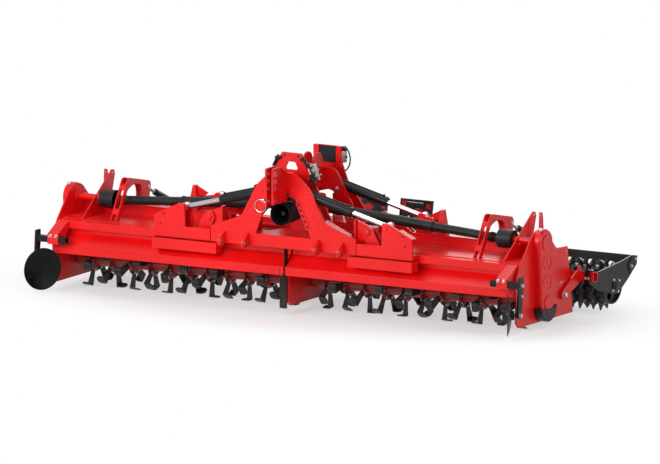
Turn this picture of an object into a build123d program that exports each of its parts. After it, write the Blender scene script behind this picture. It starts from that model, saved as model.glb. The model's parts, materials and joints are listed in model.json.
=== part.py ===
from build123d import *
import os
from math import asin, atan2, cos, degrees, hypot, radians, sin, sqrt

os.makedirs("parts", exist_ok=True)

# Folding rotary tiller with a toothed packer roller, parked on its blades and roller.
# Lengths are mm. X runs across the machine, Y to the rear and Z up, with the floor at Z = 0.
# "Back" is measured rearward from the hood's front lip. Left is +X, seen facing forward.

# Wing ends and sheet
wing_gap = 70
strip_in = 10
strip_d = 24
blade_half = 4
shoe_half = 37
shoe_gap = 7
shoe_t = 18
wing_outer = 2530
inner_plate_t = 12
outer_plate_t = 15
side_clear = 7
sheet = 10
plate_t = 20
rib_t = 12

# Centre frame
beam_half = 795
beam_front = -20
beam_rear = 100
beam_low = 638
beam_high = 757
beam_wall = 12
lug_inner = 390.5
lug_outer = 651.7
lug_t = 30
lug_r = 48
lug_eye = (-80, 664)
lug_bore_r = 18.8
mast_back = 139
mast_hole_z = 1412
mast_hole_w = 150
mast_hole_h = 76
mast_hole_fillet = 18
frame_x = beam_half - 75
deck_t = 20
window_mid = 280
window_edges = 320
root_tube_low = 700
root_tube_wall = 10
saddle_rise = 100
horn_rise = 268
tower_back = 840
tower_plate_t = 18
lift_x = 45
lift_t = 18
top_link_x = 35.5
top_link_back = -250
top_link_z = (1134, 1249, 1317, 1390)
top_link_bore_r = 16.2

# Hood, as a folded sheet over the rotor
lip_low = 373
lip_high = 454
step_back = 150
slope_top = 560
hood_top = 690
hood_back = 820
board_back = 1020
board_low = 330
skirt_low = 83

# Rotor
rotor_back = 485
tip_r = 265
rotor_tube_r = 70
rotor_flange_r = 125
rotor_flange_t = 12
rotor_flanges = 11
rotor_end = 192.5
blades_per_flange = 6
blade_w = 56
blade_t = 10
blade_reach = 80
blade_root_r = 92
journal_r = 30
journal_clear = 0.3

# Wing beams
front_tube_back = 75
front_tube_low = 608
front_tube_in = beam_half + 25
rear_tube_back = 600
rear_tube_in = beam_half + 135
rear_tube_w = 100
tube_wall = 8
tray_ahead = 48
tray_h = 102
tray_wall = 6

# Fold hinge and cylinders
hinge_x = beam_half + 75
hinge_z = 850
hinge_pin_r = 25
hinge_clear = 0.5
ear_r = 55
ear_t = 25
cheek_t = 18
cheek_gap = 7
base_pin = (100, 1195)
wing_pin = (hinge_x + 245, 932)
fold_angle = 90
barrel_r = 45
barrel_gap = 14
rod_r = 24
rod_clear = 0.3
rod_end_room = 71
cyl_front_back = 55
cyl_rear_back = 715
eye_w = 50
eye_r = 40
eye_gap = 6
clevis_r = 42
spare_hole_r = 14
tower_out = hinge_x + 545

# Drive
drive_back = 460
gearbox_z = 975
gearbox_low = 880
gearbox_half = 140
pto_r = 22.25
pto_end = -20
pto_stub = 120
pto_root_r = 26
snout_back = 180
pto_guard_r = 105
guard_wall = 5
flange_end = 175
shaft_in_r = 48
shaft_out_r = 42
yoke_pin_r = 12
input_z = 852
input_r = 32
cone_in = wing_outer - 425
cone_out = cone_in + 150
cone_r = 90
rib_clear = 50
clevis_w = 75

# Edge disc
disc_x = wing_outer + 17
disc_ahead = 178
disc_z = 239
disc_r = 202
disc_toe = 30
disc_t = 6
disc_dish = 40
hub_len = 30
hub_r = 45
post_clear = 8

# Roller frame, measured from the arm's pivot in the working position
arm_pivot_back = 864
arm_pivot_z = 283
arm_t = 20
arm_pin_r = 20
cross_tube = (261, 194)
cross_tube_w = 90
roller_at = (835, 131)
roller_r = 180
roller_wall = 12
tooth_r = 250
ring_teeth = 12
ring_pitch = 113
ring_t = 14
scraper_w = 70
beam_at = (1126, 357)
scraper_beam_d = 70
scraper_beam_h = 77
end_plate_x = wing_outer + 102
end_plate_t = 16
cross_tube_end = end_plate_x + 114
board_t = 18
link_x = wing_outer - 539.5
link_gap = 47
link_pivot = (311, 517)
link_eye = (810, 935)
link_pin_r = 16
link_barrel_r = 32
link_barrel_len = 300

# The frame hangs this far below its working position when the roller stands on the floor.
roller_reach = hypot(*roller_at)
park_drop = atan2(roller_at[1], roller_at[0]) - asin((tooth_r - arm_pivot_z) / roller_reach)

# Front and rear reach, and the lip's place that puts the origin midway between them
front_reach = disc_ahead + disc_r * cos(radians(disc_toe))
beam_corner = (beam_at[0] + scraper_beam_d, beam_at[1] + scraper_beam_h)
rear_reach = arm_pivot_back + beam_corner[0] * cos(park_drop) + beam_corner[1] * sin(park_drop)
lip_y = (front_reach - rear_reach) / 2

# Working planes: side views in (back, height), front views in (X, height)
side = Plane(origin=(0, lip_y, 0), x_dir=(0, 1, 0), z_dir=(1, 0, 0))
face = Plane(origin=(0, lip_y, 0), x_dir=(1, 0, 0), z_dir=(0, -1, 0))
carried = Plane(origin=(0, lip_y + arm_pivot_back, arm_pivot_z),
                x_dir=(0, cos(park_drop), -sin(park_drop)), z_dir=(1, 0, 0))
BOTH = (-1, 1)


def facing(back):
    """Front-view plane at a distance behind the lip."""
    return face.offset(-back)


def plate(plane, outline, thickness, bores=()):
    """Extrude a closed outline on a plane; bores are (u, v, radius)."""
    with BuildSketch(plane) as section:
        with BuildLine():
            Polyline(*outline, close=True)
        make_face()
        for u, v, radius in bores:
            with Locations((u, v)):
                Circle(radius, mode=Mode.SUBTRACT)
    extrude(section.sketch, amount=thickness)


def lug(plane, eye, radius, base, thickness, bore=0):
    """Extrude the hull of an eye circle and a base rectangle (u0, v0, u1, v1)."""
    with BuildSketch(plane) as section:
        with Locations(eye):
            Circle(radius)
        with Locations(((base[0] + base[2]) / 2, (base[1] + base[3]) / 2)):
            Rectangle(base[2] - base[0], base[3] - base[1])
        make_hull()
        if bore:
            with Locations(eye):
                Circle(bore, mode=Mode.SUBTRACT)
    extrude(section.sketch, amount=thickness)


def box_tube(plane, low, high, wall, length):
    """Extrude a rectangular tube between two corners of its section."""
    with BuildSketch(plane) as section:
        with Locations(((low[0] + high[0]) / 2, (low[1] + high[1]) / 2)):
            Rectangle(high[0] - low[0], high[1] - low[1])
            Rectangle(high[0] - low[0] - 2 * wall, high[1] - low[1] - 2 * wall, mode=Mode.SUBTRACT)
    extrude(section.sketch, amount=length)


def rod(plane, centre, radius, length, bore=0):
    """Extrude a round bar or bush from a plane."""
    with BuildSketch(plane) as section:
        with Locations(centre):
            Circle(radius)
            if bore:
                Circle(bore, mode=Mode.SUBTRACT)
    extrude(section.sketch, amount=length)


def save(builder, name):
    """Label a finished piece and write it."""
    builder.part.label = name
    export_step(builder.part, f"parts/{name}.step")


def save_pair(builder, name):
    """Write a left-hand piece and its mirror image on the right."""
    save(builder, f"{name}_left")
    with BuildPart() as mirrored:
        mirror(builder.part, about=Plane.YZ)
    save(mirrored, f"{name}_right")


# Centre frame: front beam and lower hitch lugs
with BuildPart() as front_beam:
    box_tube(side.offset(-beam_half), (beam_front, beam_low), (beam_rear, beam_high), beam_wall,
             2 * beam_half)
save(front_beam, "front_beam")

with BuildPart() as hitch_lugs:
    for x in (-lug_outer, -lug_inner, lug_inner, lug_outer):
        lug(side.offset(x - lug_t / 2), lug_eye, lug_r,
            (beam_front - 1, beam_low, beam_front, beam_high), lug_t, lug_bore_r)
save(hitch_lugs, "hitch_lugs")

# A-frame plate with its flare strips, and the spacers and pins back to the mast
with BuildPart() as a_frame:
    with BuildSketch(facing(beam_front + plate_t)):
        with BuildLine():
            Line((0, 1372), (110, 1372))
            ThreePointArc((110, 1372), (262, 1258), (355, 1109))
            Polyline((355, 1109), (463, 911), (580, 872), (beam_half, 790), (beam_half, beam_high),
                     (303, beam_high), (192, 1050), (110, base_pin[1] - 55), (0, base_pin[1] - 55),
                     (0, 1372))
        make_face()
        mirror(about=Plane.YZ)
    extrude(amount=plate_t)
    for side_x in BOTH:
        plate(facing(80),
              [(side_x * 430, 922), (side_x * 436, 935), (side_x * 706, 813), (side_x * 700, 800)],
              80 - beam_front)
        rod(facing(mast_back), (side_x * base_pin[0], base_pin[1]), hinge_pin_r,
            mast_back - beam_front - plate_t)
        plate(facing(mast_back), [(side_x * 18, 1150), (side_x * 36, 1150), (side_x * 36, 1350),
                                  (side_x * 18, 1350)], mast_back - beam_front - plate_t)
save(a_frame, "a_frame")

with BuildPart() as mast:
    with BuildSketch(facing(mast_back + plate_t)):
        with BuildLine():
            Polyline((0, 1537), (104, 1537), (142, 1480), (431, 924), (431, beam_high), (330, beam_high),
                     (330, 900), (201, 1039), (119, 1109), (0, 1109), close=True)
        make_face()
        mirror(about=Plane.YZ)
        with Locations((0, mast_hole_z)):
            Trapezoid(mast_hole_w, mast_hole_h, 65, mode=Mode.SUBTRACT)
    extrude(amount=plate_t)
    hole_edges = [edge for edge in mast.edges().filter_by(Axis.Y)
                  if abs(edge.center().X) < mast_hole_w and abs(edge.center().Z - mast_hole_z) < mast_hole_h]
    fillet(hole_edges, mast_hole_fillet)
save(mast, "mast")

with BuildPart() as top_link_bracket:
    for side_x in BOTH:
        plate(side.offset(side_x * top_link_x - plate_t / 2),
              [(-288, 1098), (-288, 1430), (-272, 1446), (-150, 1446), (beam_front, 1372),
               (beam_front, 1098)],
              plate_t, [(top_link_back, z, top_link_bore_r) for z in top_link_z])
    box_tube(facing(beam_front), (-top_link_x, 1115), (top_link_x, 1365), 15, plate_t)
save(top_link_bracket, "top_link_bracket")

with BuildPart() as deck:
    with BuildSketch(Plane.XY.offset(beam_high - deck_t)):
        with Locations((0, lip_y + (beam_rear + rear_tube_back) / 2)):
            Rectangle(2 * frame_x, rear_tube_back - beam_rear)
            with Locations((window_mid - frame_x, 0), (frame_x - window_mid, 0)):
                RectangleRounded(frame_x - window_edges, 300, 40, mode=Mode.SUBTRACT)
    extrude(amount=deck_t)
save(deck, "deck")

with BuildPart() as rear_beam:
    box_tube(side.offset(-frame_x), (rear_tube_back, root_tube_low),
             (rear_tube_back + rear_tube_w, root_tube_low + rear_tube_w), root_tube_wall, 2 * frame_x)
save(rear_beam, "rear_beam")

# Side frames: a saddle-shaped rib each side, with the hinge ears and pins
ear_front_back = front_tube_back + cheek_t + cheek_gap
ear_rear_back = rear_tube_back + 30
horn_z = root_tube_low + horn_rise
saddle_z = root_tube_low + saddle_rise
with BuildPart() as side_frames:
    for side_x in BOTH:
        plate(side.offset(min(side_x * frame_x, side_x * (frame_x + plate_t))),
              [(beam_rear, root_tube_low), (beam_rear, beam_high), (front_tube_back, beam_high),
               (front_tube_back, horn_z), (beam_rear + 40, horn_z), (beam_rear + 130, saddle_z),
               (rear_tube_back - 80, saddle_z), (rear_tube_back, horn_z - 8),
               (rear_tube_back + 80, horn_z - 8),
               (rear_tube_back + 80, root_tube_low)], plate_t)
        for back in (ear_front_back, ear_rear_back):
            rib_x = frame_x + plate_t
            lug(facing(back + ear_t), (side_x * hinge_x, hinge_z), ear_r,
                (min(side_x * rib_x, side_x * (rib_x + 8)), hinge_z - 120,
                 max(side_x * rib_x, side_x * (rib_x + 8)), hinge_z + 105),
                ear_t)
            pin_over = cheek_t + cheek_gap + 8
            rod(facing(back + ear_t + pin_over), (side_x * hinge_x, hinge_z), hinge_pin_r,
                ear_t + 2 * pin_over)
save(side_frames, "side_frames")

# Central gearbox with output yokes, PTO shaft and guard
shaft_pivot_x = flange_end + shaft_in_r + 6
with BuildPart() as gearbox:
    with BuildSketch(Plane.XY.offset(gearbox_low)):
        with Locations((0, lip_y + drive_back - 15)):
            RectangleRounded(2 * gearbox_half, 290, 45)
    extrude(amount=215)
    fillet(gearbox.faces().sort_by(Axis.Z)[-1].edges(), 25)
    with BuildSketch(Plane.XY.offset(beam_high)):
        with Locations((0, lip_y + drive_back - 15)):
            Rectangle(230, 240)
    extrude(amount=gearbox_low - beam_high)
    rod(facing(drive_back - 160), (0, gearbox_z), 80, drive_back - 160 - snout_back)
    for side_x in BOTH:
        rod(side.offset(side_x * gearbox_half), (drive_back, gearbox_z), 68,
            side_x * (flange_end - gearbox_half))
        for cheek in BOTH:
            inner = drive_back + cheek * (shaft_in_r + 4)
            plate(side.offset(side_x * flange_end),
                  [(inner, gearbox_z - 24), (inner + cheek * 12, gearbox_z - 24),
                   (inner + cheek * 12, gearbox_z + 24), (inner, gearbox_z + 24)],
                  side_x * (shaft_pivot_x - flange_end + 22))
        rod(facing(drive_back + shaft_in_r + 16), (side_x * shaft_pivot_x, gearbox_z), yoke_pin_r,
            2 * (shaft_in_r + 16))
save(gearbox, "gearbox")

with BuildPart() as pto_guard:
    with BuildSketch(side):
        with BuildLine():
            Polyline((-80, gearbox_z + pto_guard_r), (snout_back, gearbox_z + pto_guard_r - 6),
                     (snout_back, gearbox_z + 32), (snout_back - 6, gearbox_z + 32),
                     (snout_back - 6, gearbox_z + pto_guard_r - 6 - guard_wall),
                     (-80, gearbox_z + pto_guard_r - guard_wall), close=True)
        make_face()
    revolve(axis=Axis((0, lip_y, gearbox_z), (0, 1, 0)))
save(pto_guard, "pto_guard")

with BuildPart() as pto_shaft:
    rod(facing(pto_end + pto_stub), (0, gearbox_z), pto_r, pto_stub)
    rod(facing(snout_back), (0, gearbox_z), pto_root_r, snout_back - pto_end - pto_stub)
save(pto_shaft, "pto_shaft")

# Rear tower over the rear beam, carrying the rear cylinders' base pins
tower_foot = root_tube_low + rear_tube_w
tower_front = rear_tube_back + 40
tower_gap = tower_back - tower_front - tower_plate_t
with BuildPart() as rear_tower:
    with BuildSketch(facing(tower_back + tower_plate_t)):
        with BuildLine():
            Polyline((0, 1505), (153, 1505), (153, 1330), (210, 1180), (430, 880),
                     (430, tower_foot + plate_t),
                     (300, tower_foot + plate_t), (160, 1040), (0, 1080), close=True)
        make_face()
        mirror(about=Plane.YZ)
    extrude(amount=tower_plate_t)
    with BuildSketch(facing(tower_front + tower_plate_t)):
        with BuildLine():
            Polyline((0, 1330), (120, 1330))
            ThreePointArc((120, 1330), (180, 1318), (215, 1285))
            Polyline((215, 1285), (375, 1000), (420, 880), (420, tower_foot + plate_t),
                     (310, tower_foot + plate_t), (228, 1000), (150, 1135), (0, 1135), (0, 1330))
        make_face()
        mirror(about=Plane.YZ)
    extrude(amount=tower_plate_t)
    with BuildSketch(Plane.XY.offset(tower_foot)):
        with Locations((0, lip_y + (tower_front - 30 + tower_back + tower_plate_t) / 2)):
            Rectangle(860, tower_back + tower_plate_t - tower_front + 30)
    extrude(amount=plate_t)
    for side_x in BOTH:
        rod(facing(tower_back), (side_x * base_pin[0], base_pin[1]), hinge_pin_r, tower_gap)
        plate(facing(tower_back),
              [(side_x * 150, tower_foot + plate_t), (side_x * 165, tower_foot + plate_t),
               (side_x * 165, base_pin[1] - 115), (side_x * 150, base_pin[1] - 115)], tower_gap)
        plate(facing(tower_back), [(side_x * 95, 1285), (side_x * 153, 1285), (side_x * 153, 1505),
                                   (side_x * 95, 1505)], 22)
        lug(side.offset(min(side_x * lift_x, side_x * (lift_x + lift_t))), (tower_front - 105, 1400), 85,
            (tower_front - 190, 1190, tower_front, 1330), lift_t)
save(rear_tower, "rear_tower")

with BuildPart() as tower_panel:
    plate(facing(tower_back), [(-93, 1345), (93, 1345), (93, 1500), (-93, 1500)], 12)
save(tower_panel, "tower_panel")

with BuildPart() as centre_tine:
    plate(side.offset(-blade_half),
          [(-shoe_gap, 90), (60, 150), (60, beam_low), (0, beam_low), (0, lip_low - 8),
           (-shoe_gap, lip_low - 8)], 2 * blade_half)
    plate(side.offset(-shoe_half),
          [(-shoe_gap - shoe_t, 61), (-shoe_gap, 61), (-shoe_gap, lip_low - 8),
           (-shoe_gap - shoe_t, lip_low - 8)], 2 * shoe_half)
save(centre_tine, "centre_tine")

# Wing: folded hood sheet
wing_in = wing_gap / 2
hood_in = wing_in + inner_plate_t
with BuildPart() as hood:
    with BuildSketch(side.offset(hood_in)):
        with BuildLine():
            Polyline((0, lip_low), (0, lip_high), (step_back, slope_top), (step_back, hood_top),
                     (hood_back, hood_top), (985, 520), (board_back, board_low))
            offset(amount=sheet, side=Side.RIGHT, kind=Kind.INTERSECTION)
        make_face()
    extrude(amount=wing_outer - hood_in)
save_pair(hood, "hood")

# Side plates: the inner one follows the hood, the outer one has a round head
bearing_bores = [(rotor_back, tip_r, journal_r + journal_clear),
                 (arm_pivot_back, arm_pivot_z, arm_pin_r + journal_clear)]
with BuildPart() as side_plates:
    plate(side.offset(wing_in),
          [(45, skirt_low), (0, 130), (0, lip_high), (step_back, slope_top), (step_back, hood_top),
           (hood_back, hood_top), (985, 520), (1050, 200), (1040, skirt_low)], inner_plate_t, bearing_bores)
    plate(side.offset(strip_in),
          [(0, lip_low), (0, lip_high), (step_back, slope_top), (step_back, hood_top),
           (step_back + strip_d, hood_top), (step_back + strip_d, slope_top - 13),
           (strip_d, lip_high - 13), (strip_d, lip_low)],
          wing_in - strip_in)
    with BuildSketch(side.offset(wing_outer)):
        with BuildLine():
            Polyline((600, 905), (770, 745), (978, 734), (1058, 200), (1075, skirt_low),
                     (45, skirt_low), (0, 130), (0, 560), (90, 690), (290, 905))
            ThreePointArc((290, 905), (445, 975), (600, 905))
        make_face()
        for u, v, radius in bearing_bores:
            with Locations((u, v)):
                Circle(radius, mode=Mode.SUBTRACT)
    extrude(amount=outer_plate_t)
save_pair(side_plates, "side_plates")

# Crossbeams on the hood, the front one flush with its step
front_tube_top = front_tube_low + step_back - front_tube_back
rear_tube_top = hood_top + rear_tube_w
with BuildPart() as crossbeams:
    box_tube(side.offset(front_tube_in), (front_tube_back, front_tube_low), (step_back, front_tube_top),
             tube_wall, wing_outer - front_tube_in)
    box_tube(side.offset(rear_tube_in), (rear_tube_back, hood_top),
             (rear_tube_back + rear_tube_w, hood_top + rear_tube_w), tube_wall, wing_outer - rear_tube_in)
save_pair(crossbeams, "crossbeams")

# Towers: cylinder brackets, hinge cheeks and a rest post
tower_low = front_tube_low + 32
with BuildPart() as towers:
    plate(facing(beam_front + plate_t),
          [(beam_half + 8, tower_low), (tower_out, tower_low), (tower_out, hinge_z - 4),
           (wing_pin[0] + 35, wing_pin[1] + 41), (wing_pin[0] - 30, wing_pin[1] + 41),
           (wing_pin[0] - 37, hinge_z - 98), (beam_half + 8, hinge_z - 98)],
          plate_t, [(tower_out - 75, hinge_z - 80, spare_hole_r),
                    (tower_out - 107, hinge_z + 10, spare_hole_r)])
    for x in (front_tube_in + 3, tower_out - plate_t):
        plate(facing(front_tube_back),
              [(x, tower_low), (x + plate_t, tower_low), (x + plate_t, front_tube_top), (x, front_tube_top)],
              front_tube_back - beam_front - plate_t)
    eye_front = cyl_front_back - eye_w / 2 - eye_gap
    rod(facing(eye_front), wing_pin, clevis_r, eye_front - beam_front - plate_t)
    eye_rear = cyl_front_back + eye_w / 2 + eye_gap
    lug(facing(eye_rear + plate_t), wing_pin, clevis_r,
        (wing_pin[0] - 70, front_tube_top, wing_pin[0] + 70, front_tube_top + 10), plate_t)
    cheek_feet = ((ear_front_back, front_tube_top, hinge_x + 15, hinge_x + 160),
                  (ear_rear_back, rear_tube_top, rear_tube_in, rear_tube_in + 110))
    for back, cheek_low, cheek_in, cheek_out in cheek_feet:
        for start in (back - cheek_gap - cheek_t, back + ear_t + cheek_gap):
            lug(facing(start + cheek_t), (hinge_x, hinge_z), ear_r + 3,
                (cheek_in, cheek_low, cheek_out, cheek_low + 8), cheek_t, hinge_pin_r + hinge_clear)
    for start in (cyl_rear_back - eye_w / 2 - eye_gap - plate_t, cyl_rear_back + eye_w / 2 + eye_gap):
        lug(facing(start + plate_t), wing_pin, clevis_r,
            (wing_pin[0] - 55, rear_tube_top, wing_pin[0] + 70, rear_tube_top + 10), plate_t)
    plate(facing(cyl_rear_back + eye_w / 2 + eye_gap),
          [(wing_pin[0] - 55, rear_tube_top), (wing_pin[0] + 70, rear_tube_top),
           (wing_pin[0] + 70, rear_tube_top + 16), (wing_pin[0] - 55, rear_tube_top + 16)],
          eye_w + 2 * eye_gap)
    with BuildSketch(Plane.XY.offset(rear_tube_top)):
        with Locations((tower_out - 56, lip_y + rear_tube_back + 55)):
            Rectangle(110, 80)
    with BuildSketch(Plane.XY.offset(rear_tube_top + 237)):
        with Locations((tower_out - 56, lip_y + rear_tube_back + 65)):
            Rectangle(30, 50)
    loft()
save_pair(towers, "towers")

with BuildPart() as tray:
    with BuildSketch(Plane.XY.offset(front_tube_low - 82)):
        with Locations(((beam_half - 73 + tower_out + 10) / 2, lip_y + (front_tube_back - tray_ahead) / 2)):
            Rectangle(tower_out + 10 - beam_half + 73, front_tube_back + tray_ahead)
    extrude(amount=tray_h)
    offset(amount=-tray_wall, openings=tray.faces().sort_by(Axis.Z)[-1])
save_pair(tray, "tray")

# Arch over the drive shaft and clevis gussets, standing on the hood
with BuildPart() as brackets:
    for x in (link_x - link_gap / 2 - rib_t, link_x + link_gap / 2):
        with BuildSketch(side.offset(x)):
            with BuildLine():
                Polyline((196, hood_top), (400, 1040))
                ThreePointArc((400, 1040), (425, 1067), (470, 1072))
                Polyline((470, 1072), (800, 1000))
                ThreePointArc((800, 1000), (850, 965), (846, 915))
                Polyline((846, 915), (795, hood_top), (725, hood_top), (750, 960), (510, 1015), (440, 1005),
                         (252, hood_top), (196, hood_top))
            make_face()
            with Locations(link_eye):
                Circle(link_pin_r, mode=Mode.SUBTRACT)
        extrude(amount=rib_t)
    for low, high in (((232, 752), (262, 803)), ((360, 972), (385, 1014)), ((480, 1060), (700, 1012))):
        with BuildSketch(side.offset(link_x - link_gap / 2)):
            with BuildLine():
                Polyline(low, high, (high[0] + 12, high[1] - 8), (low[0] + 12, low[1] - 8), close=True)
            make_face()
        extrude(amount=link_gap)
    tube_rear = rear_tube_back + rear_tube_w
    clevis_head = [(777, 1032), (765, 1077), (720, 1085)]
    clevis_hole = (742, 1053, spare_hole_r)
    plate(side.offset(cone_out + rib_clear),
          [(step_back + 10, hood_top), (rear_tube_back, hood_top), (rear_tube_back, rear_tube_top),
           (tube_rear, rear_tube_top), *clevis_head],
          rib_t, [(drive_back, input_z, input_r + 5), clevis_hole])
    plate(side.offset(cone_out + rib_clear + clevis_w),
          [(tube_rear, hood_top), (hood_back - 10, hood_top), *clevis_head], rib_t, [clevis_hole])
save_pair(brackets, "brackets")

# End gearcase outside the outer plate, with its input tube inside
with BuildPart() as gearcase:
    with BuildSketch(side.offset(wing_outer + outer_plate_t)):
        with Locations((446, input_z)):
            Circle(130)
        with Locations((rotor_back, tip_r)):
            Circle(125)
        make_hull()
    extrude(amount=75)
    chamfer(gearcase.faces().sort_by(Axis.X)[-1].edges(), 16)
    for centre in ((446, input_z), (rotor_back, tip_r)):
        rod(side.offset(wing_outer + outer_plate_t + 75), centre, 75, 8)
    rod(side.offset(wing_outer - 25), (drive_back, input_z), 60, 25)
    rod(side.offset(cone_out - 55), (drive_back, input_z), input_r, wing_outer - cone_out + 55)
save_pair(gearcase, "gearcase")

with BuildPart() as shaft_cone:
    with BuildSketch(Plane(origin=(0, lip_y + drive_back, 0), x_dir=(1, 0, 0), z_dir=(0, -1, 0))):
        with BuildLine():
            Polyline((cone_in, input_z + cone_r), (cone_out, input_z + cone_r - 4),
                     (cone_out, input_z + input_r + 0.3), (cone_out - 8, input_z + input_r + 0.3),
                     (cone_out - 8, input_z + cone_r - 4 - guard_wall),
                     (cone_in, input_z + cone_r - guard_wall), close=True)
        make_face()
    revolve(axis=Axis((0, lip_y + drive_back, input_z), (1, 0, 0)))
save_pair(shaft_cone, "shaft_cone")

# Edge disc with its red bracket and black post
toe_cos = cos(radians(disc_toe))
toe_sin = sin(radians(disc_toe))
disc_centre = Vector(disc_x, lip_y - disc_ahead, disc_z)
disc_axle = Vector(toe_cos, toe_sin, 0)
post_bar = (-94, 521)
bar_w = 60
bracket_in = wing_outer - 125
bracket_out = wing_outer - 10
with BuildPart() as disc_bracket:
    for x in (bracket_in, bracket_out - 17):
        plate(side.offset(x), [(front_tube_back, front_tube_low + 4), (front_tube_back, front_tube_top),
                               (-136, 575), (-136, 479), (-52, 479)], 17)
    plate(side.offset(bracket_in),
          [(front_tube_back, front_tube_top - rib_t), (front_tube_back, front_tube_top), (-136, 575),
           (-136, 555)], bracket_out - bracket_in)
    box_tube(side.offset(bracket_in), (-136, 479), (-52, 563), 11.5, bracket_out - bracket_in)
    with BuildSketch(side.offset(bracket_in)):
        with Locations(post_bar):
            Rectangle(bar_w + 1, bar_w + 1)
    extrude(amount=bracket_out - bracket_in, mode=Mode.SUBTRACT)
save_pair(disc_bracket, "disc_bracket")

hub_end = disc_dish + hub_len
post_x = disc_x + hub_end * toe_cos + hub_r * toe_sin + post_clear
bar_in = wing_outer - 201
with BuildPart() as disc_post:
    box_tube(side.offset(bar_in), (post_bar[0] - bar_w / 2, post_bar[1] - bar_w / 2),
             (post_bar[0] + bar_w / 2, post_bar[1] + bar_w / 2), 6, post_x - bar_in)
    axle_back = -disc_ahead + (post_x - disc_x) / toe_cos * toe_sin
    lug(side.offset(post_x), (axle_back, disc_z), 36, (-132, 480, -56, 600), 20)
    rod(Plane(origin=disc_centre + disc_axle * (hub_end + 0.5), z_dir=disc_axle), (0, 0), 22,
        (post_x + 8 - disc_x) / toe_cos - hub_end)
save_pair(disc_post, "disc_post")

with BuildPart() as disc:
    with BuildSketch(Plane(origin=disc_centre, x_dir=disc_axle, z_dir=(toe_sin, -toe_cos, 0))):
        with BuildLine():
            ThreePointArc((disc_dish, 0), (0.75 * disc_dish, disc_r / 2), (0, disc_r))
            Line((0, disc_r), (disc_t, disc_r))
            ThreePointArc((disc_t, disc_r), (0.75 * disc_dish + disc_t, disc_r / 2),
                          (0.93 * disc_dish + disc_t, hub_r))
            Polyline((0.93 * disc_dish + disc_t, hub_r), (hub_end, hub_r), (hub_end, 0), (disc_dish, 0))
        make_face()
    revolve(axis=Axis(disc_centre, disc_axle))
save_pair(disc, "disc")

# Rotor: one flange with its ring of L blades, repeated along the tube in a helix
blade_face = sqrt(tip_r ** 2 - (blade_w / 2) ** 2)
with BuildPart() as flange:
    rod(Plane.YZ.offset(-rotor_flange_t / 2), (0, 0), rotor_flange_r, rotor_flange_t)
    for index in range(blades_per_flange):
        turn = radians(360 / blades_per_flange * index)
        hand = BOTH[index % 2]
        near = rotor_flange_t / 2
        blade_plane = Plane(origin=(0, 0, 0), x_dir=(hand, 0, 0),
                            z_dir=(0, -hand * sin(turn), hand * cos(turn)))
        with BuildSketch(blade_plane):
            with BuildLine():
                Polyline((near, blade_root_r), (near + blade_t, blade_root_r),
                         (near + blade_t, blade_face - blade_t), (near + blade_reach, blade_face - blade_t),
                         (near + blade_reach, blade_face), (near, blade_face), close=True)
            make_face()
        extrude(amount=blade_w / 2, both=True)

rotor_first = wing_in + rotor_end
rotor_pitch = (wing_outer - rotor_end - rotor_first) / (rotor_flanges - 1)
tip_phase = -90 + degrees(asin(blade_w / 2 / tip_r))
stagger = 360 / blades_per_flange / rotor_flanges
flange_spots = [Location((rotor_first + rotor_pitch * i, lip_y + rotor_back, tip_r),
                         (tip_phase + stagger * i * 5, 0, 0)) for i in range(rotor_flanges)]
rotor_in = hood_in + 10
rotor_out = wing_outer - 10
with BuildPart() as rotor:
    rod(side.offset(rotor_in), (rotor_back, tip_r), rotor_tube_r, rotor_out - rotor_in)
    rod(side.offset(wing_in), (rotor_back, tip_r), journal_r, wing_outer + outer_plate_t - 1 - wing_in)
    with Locations(*flange_spots):
        add(flange.part)
save_pair(rotor, "rotor")

# Roller: one toothed ring, repeated along the tube with alternate rings turned by half a tooth
with BuildPart() as ring:
    half_tooth = 180 / ring_teeth
    with BuildSketch(Plane.YZ.offset(-ring_t / 2)):
        with BuildLine():
            Polyline(*[((tooth_r if k % 2 == 0 else roller_r + 6) * cos(radians(half_tooth * k)),
                        (tooth_r if k % 2 == 0 else roller_r + 6) * sin(radians(half_tooth * k)))
                       for k in range(2 * ring_teeth)], close=True)
        make_face()
        Circle(roller_r - roller_wall / 2, mode=Mode.SUBTRACT)
    extrude(amount=ring_t)

roller_in = wing_gap / 2 + 10
roller_out = end_plate_x - 12
ring_count = int((roller_out - roller_in) // ring_pitch)
ring_first = (roller_in + roller_out - ring_pitch * (ring_count - 1)) / 2
roller_centre = carried.from_local_coords((roller_at[0], roller_at[1], 0))
ring_spots = [Location((ring_first + ring_pitch * i, roller_centre.Y, roller_centre.Z),
                       (-90 + half_tooth * (i % 2), 0, 0)) for i in range(ring_count)]
end_in = 15
with BuildPart() as roller:
    rod(carried.offset(roller_in), roller_at, roller_r, roller_out - roller_in, roller_r - roller_wall)
    for x in (roller_in + 30, roller_out - 45):
        with BuildSketch(carried.offset(x)):
            with Locations(roller_at):
                Circle(roller_r - roller_wall)
                with PolarLocations(105, 4):
                    Circle(40, mode=Mode.SUBTRACT)
        extrude(amount=15)
    rod(carried.offset(end_in + 1), roller_at, journal_r, end_plate_x + end_plate_t - end_in - 2)
    with Locations(*ring_spots):
        add(ring.part)
save_pair(roller, "roller")

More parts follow.
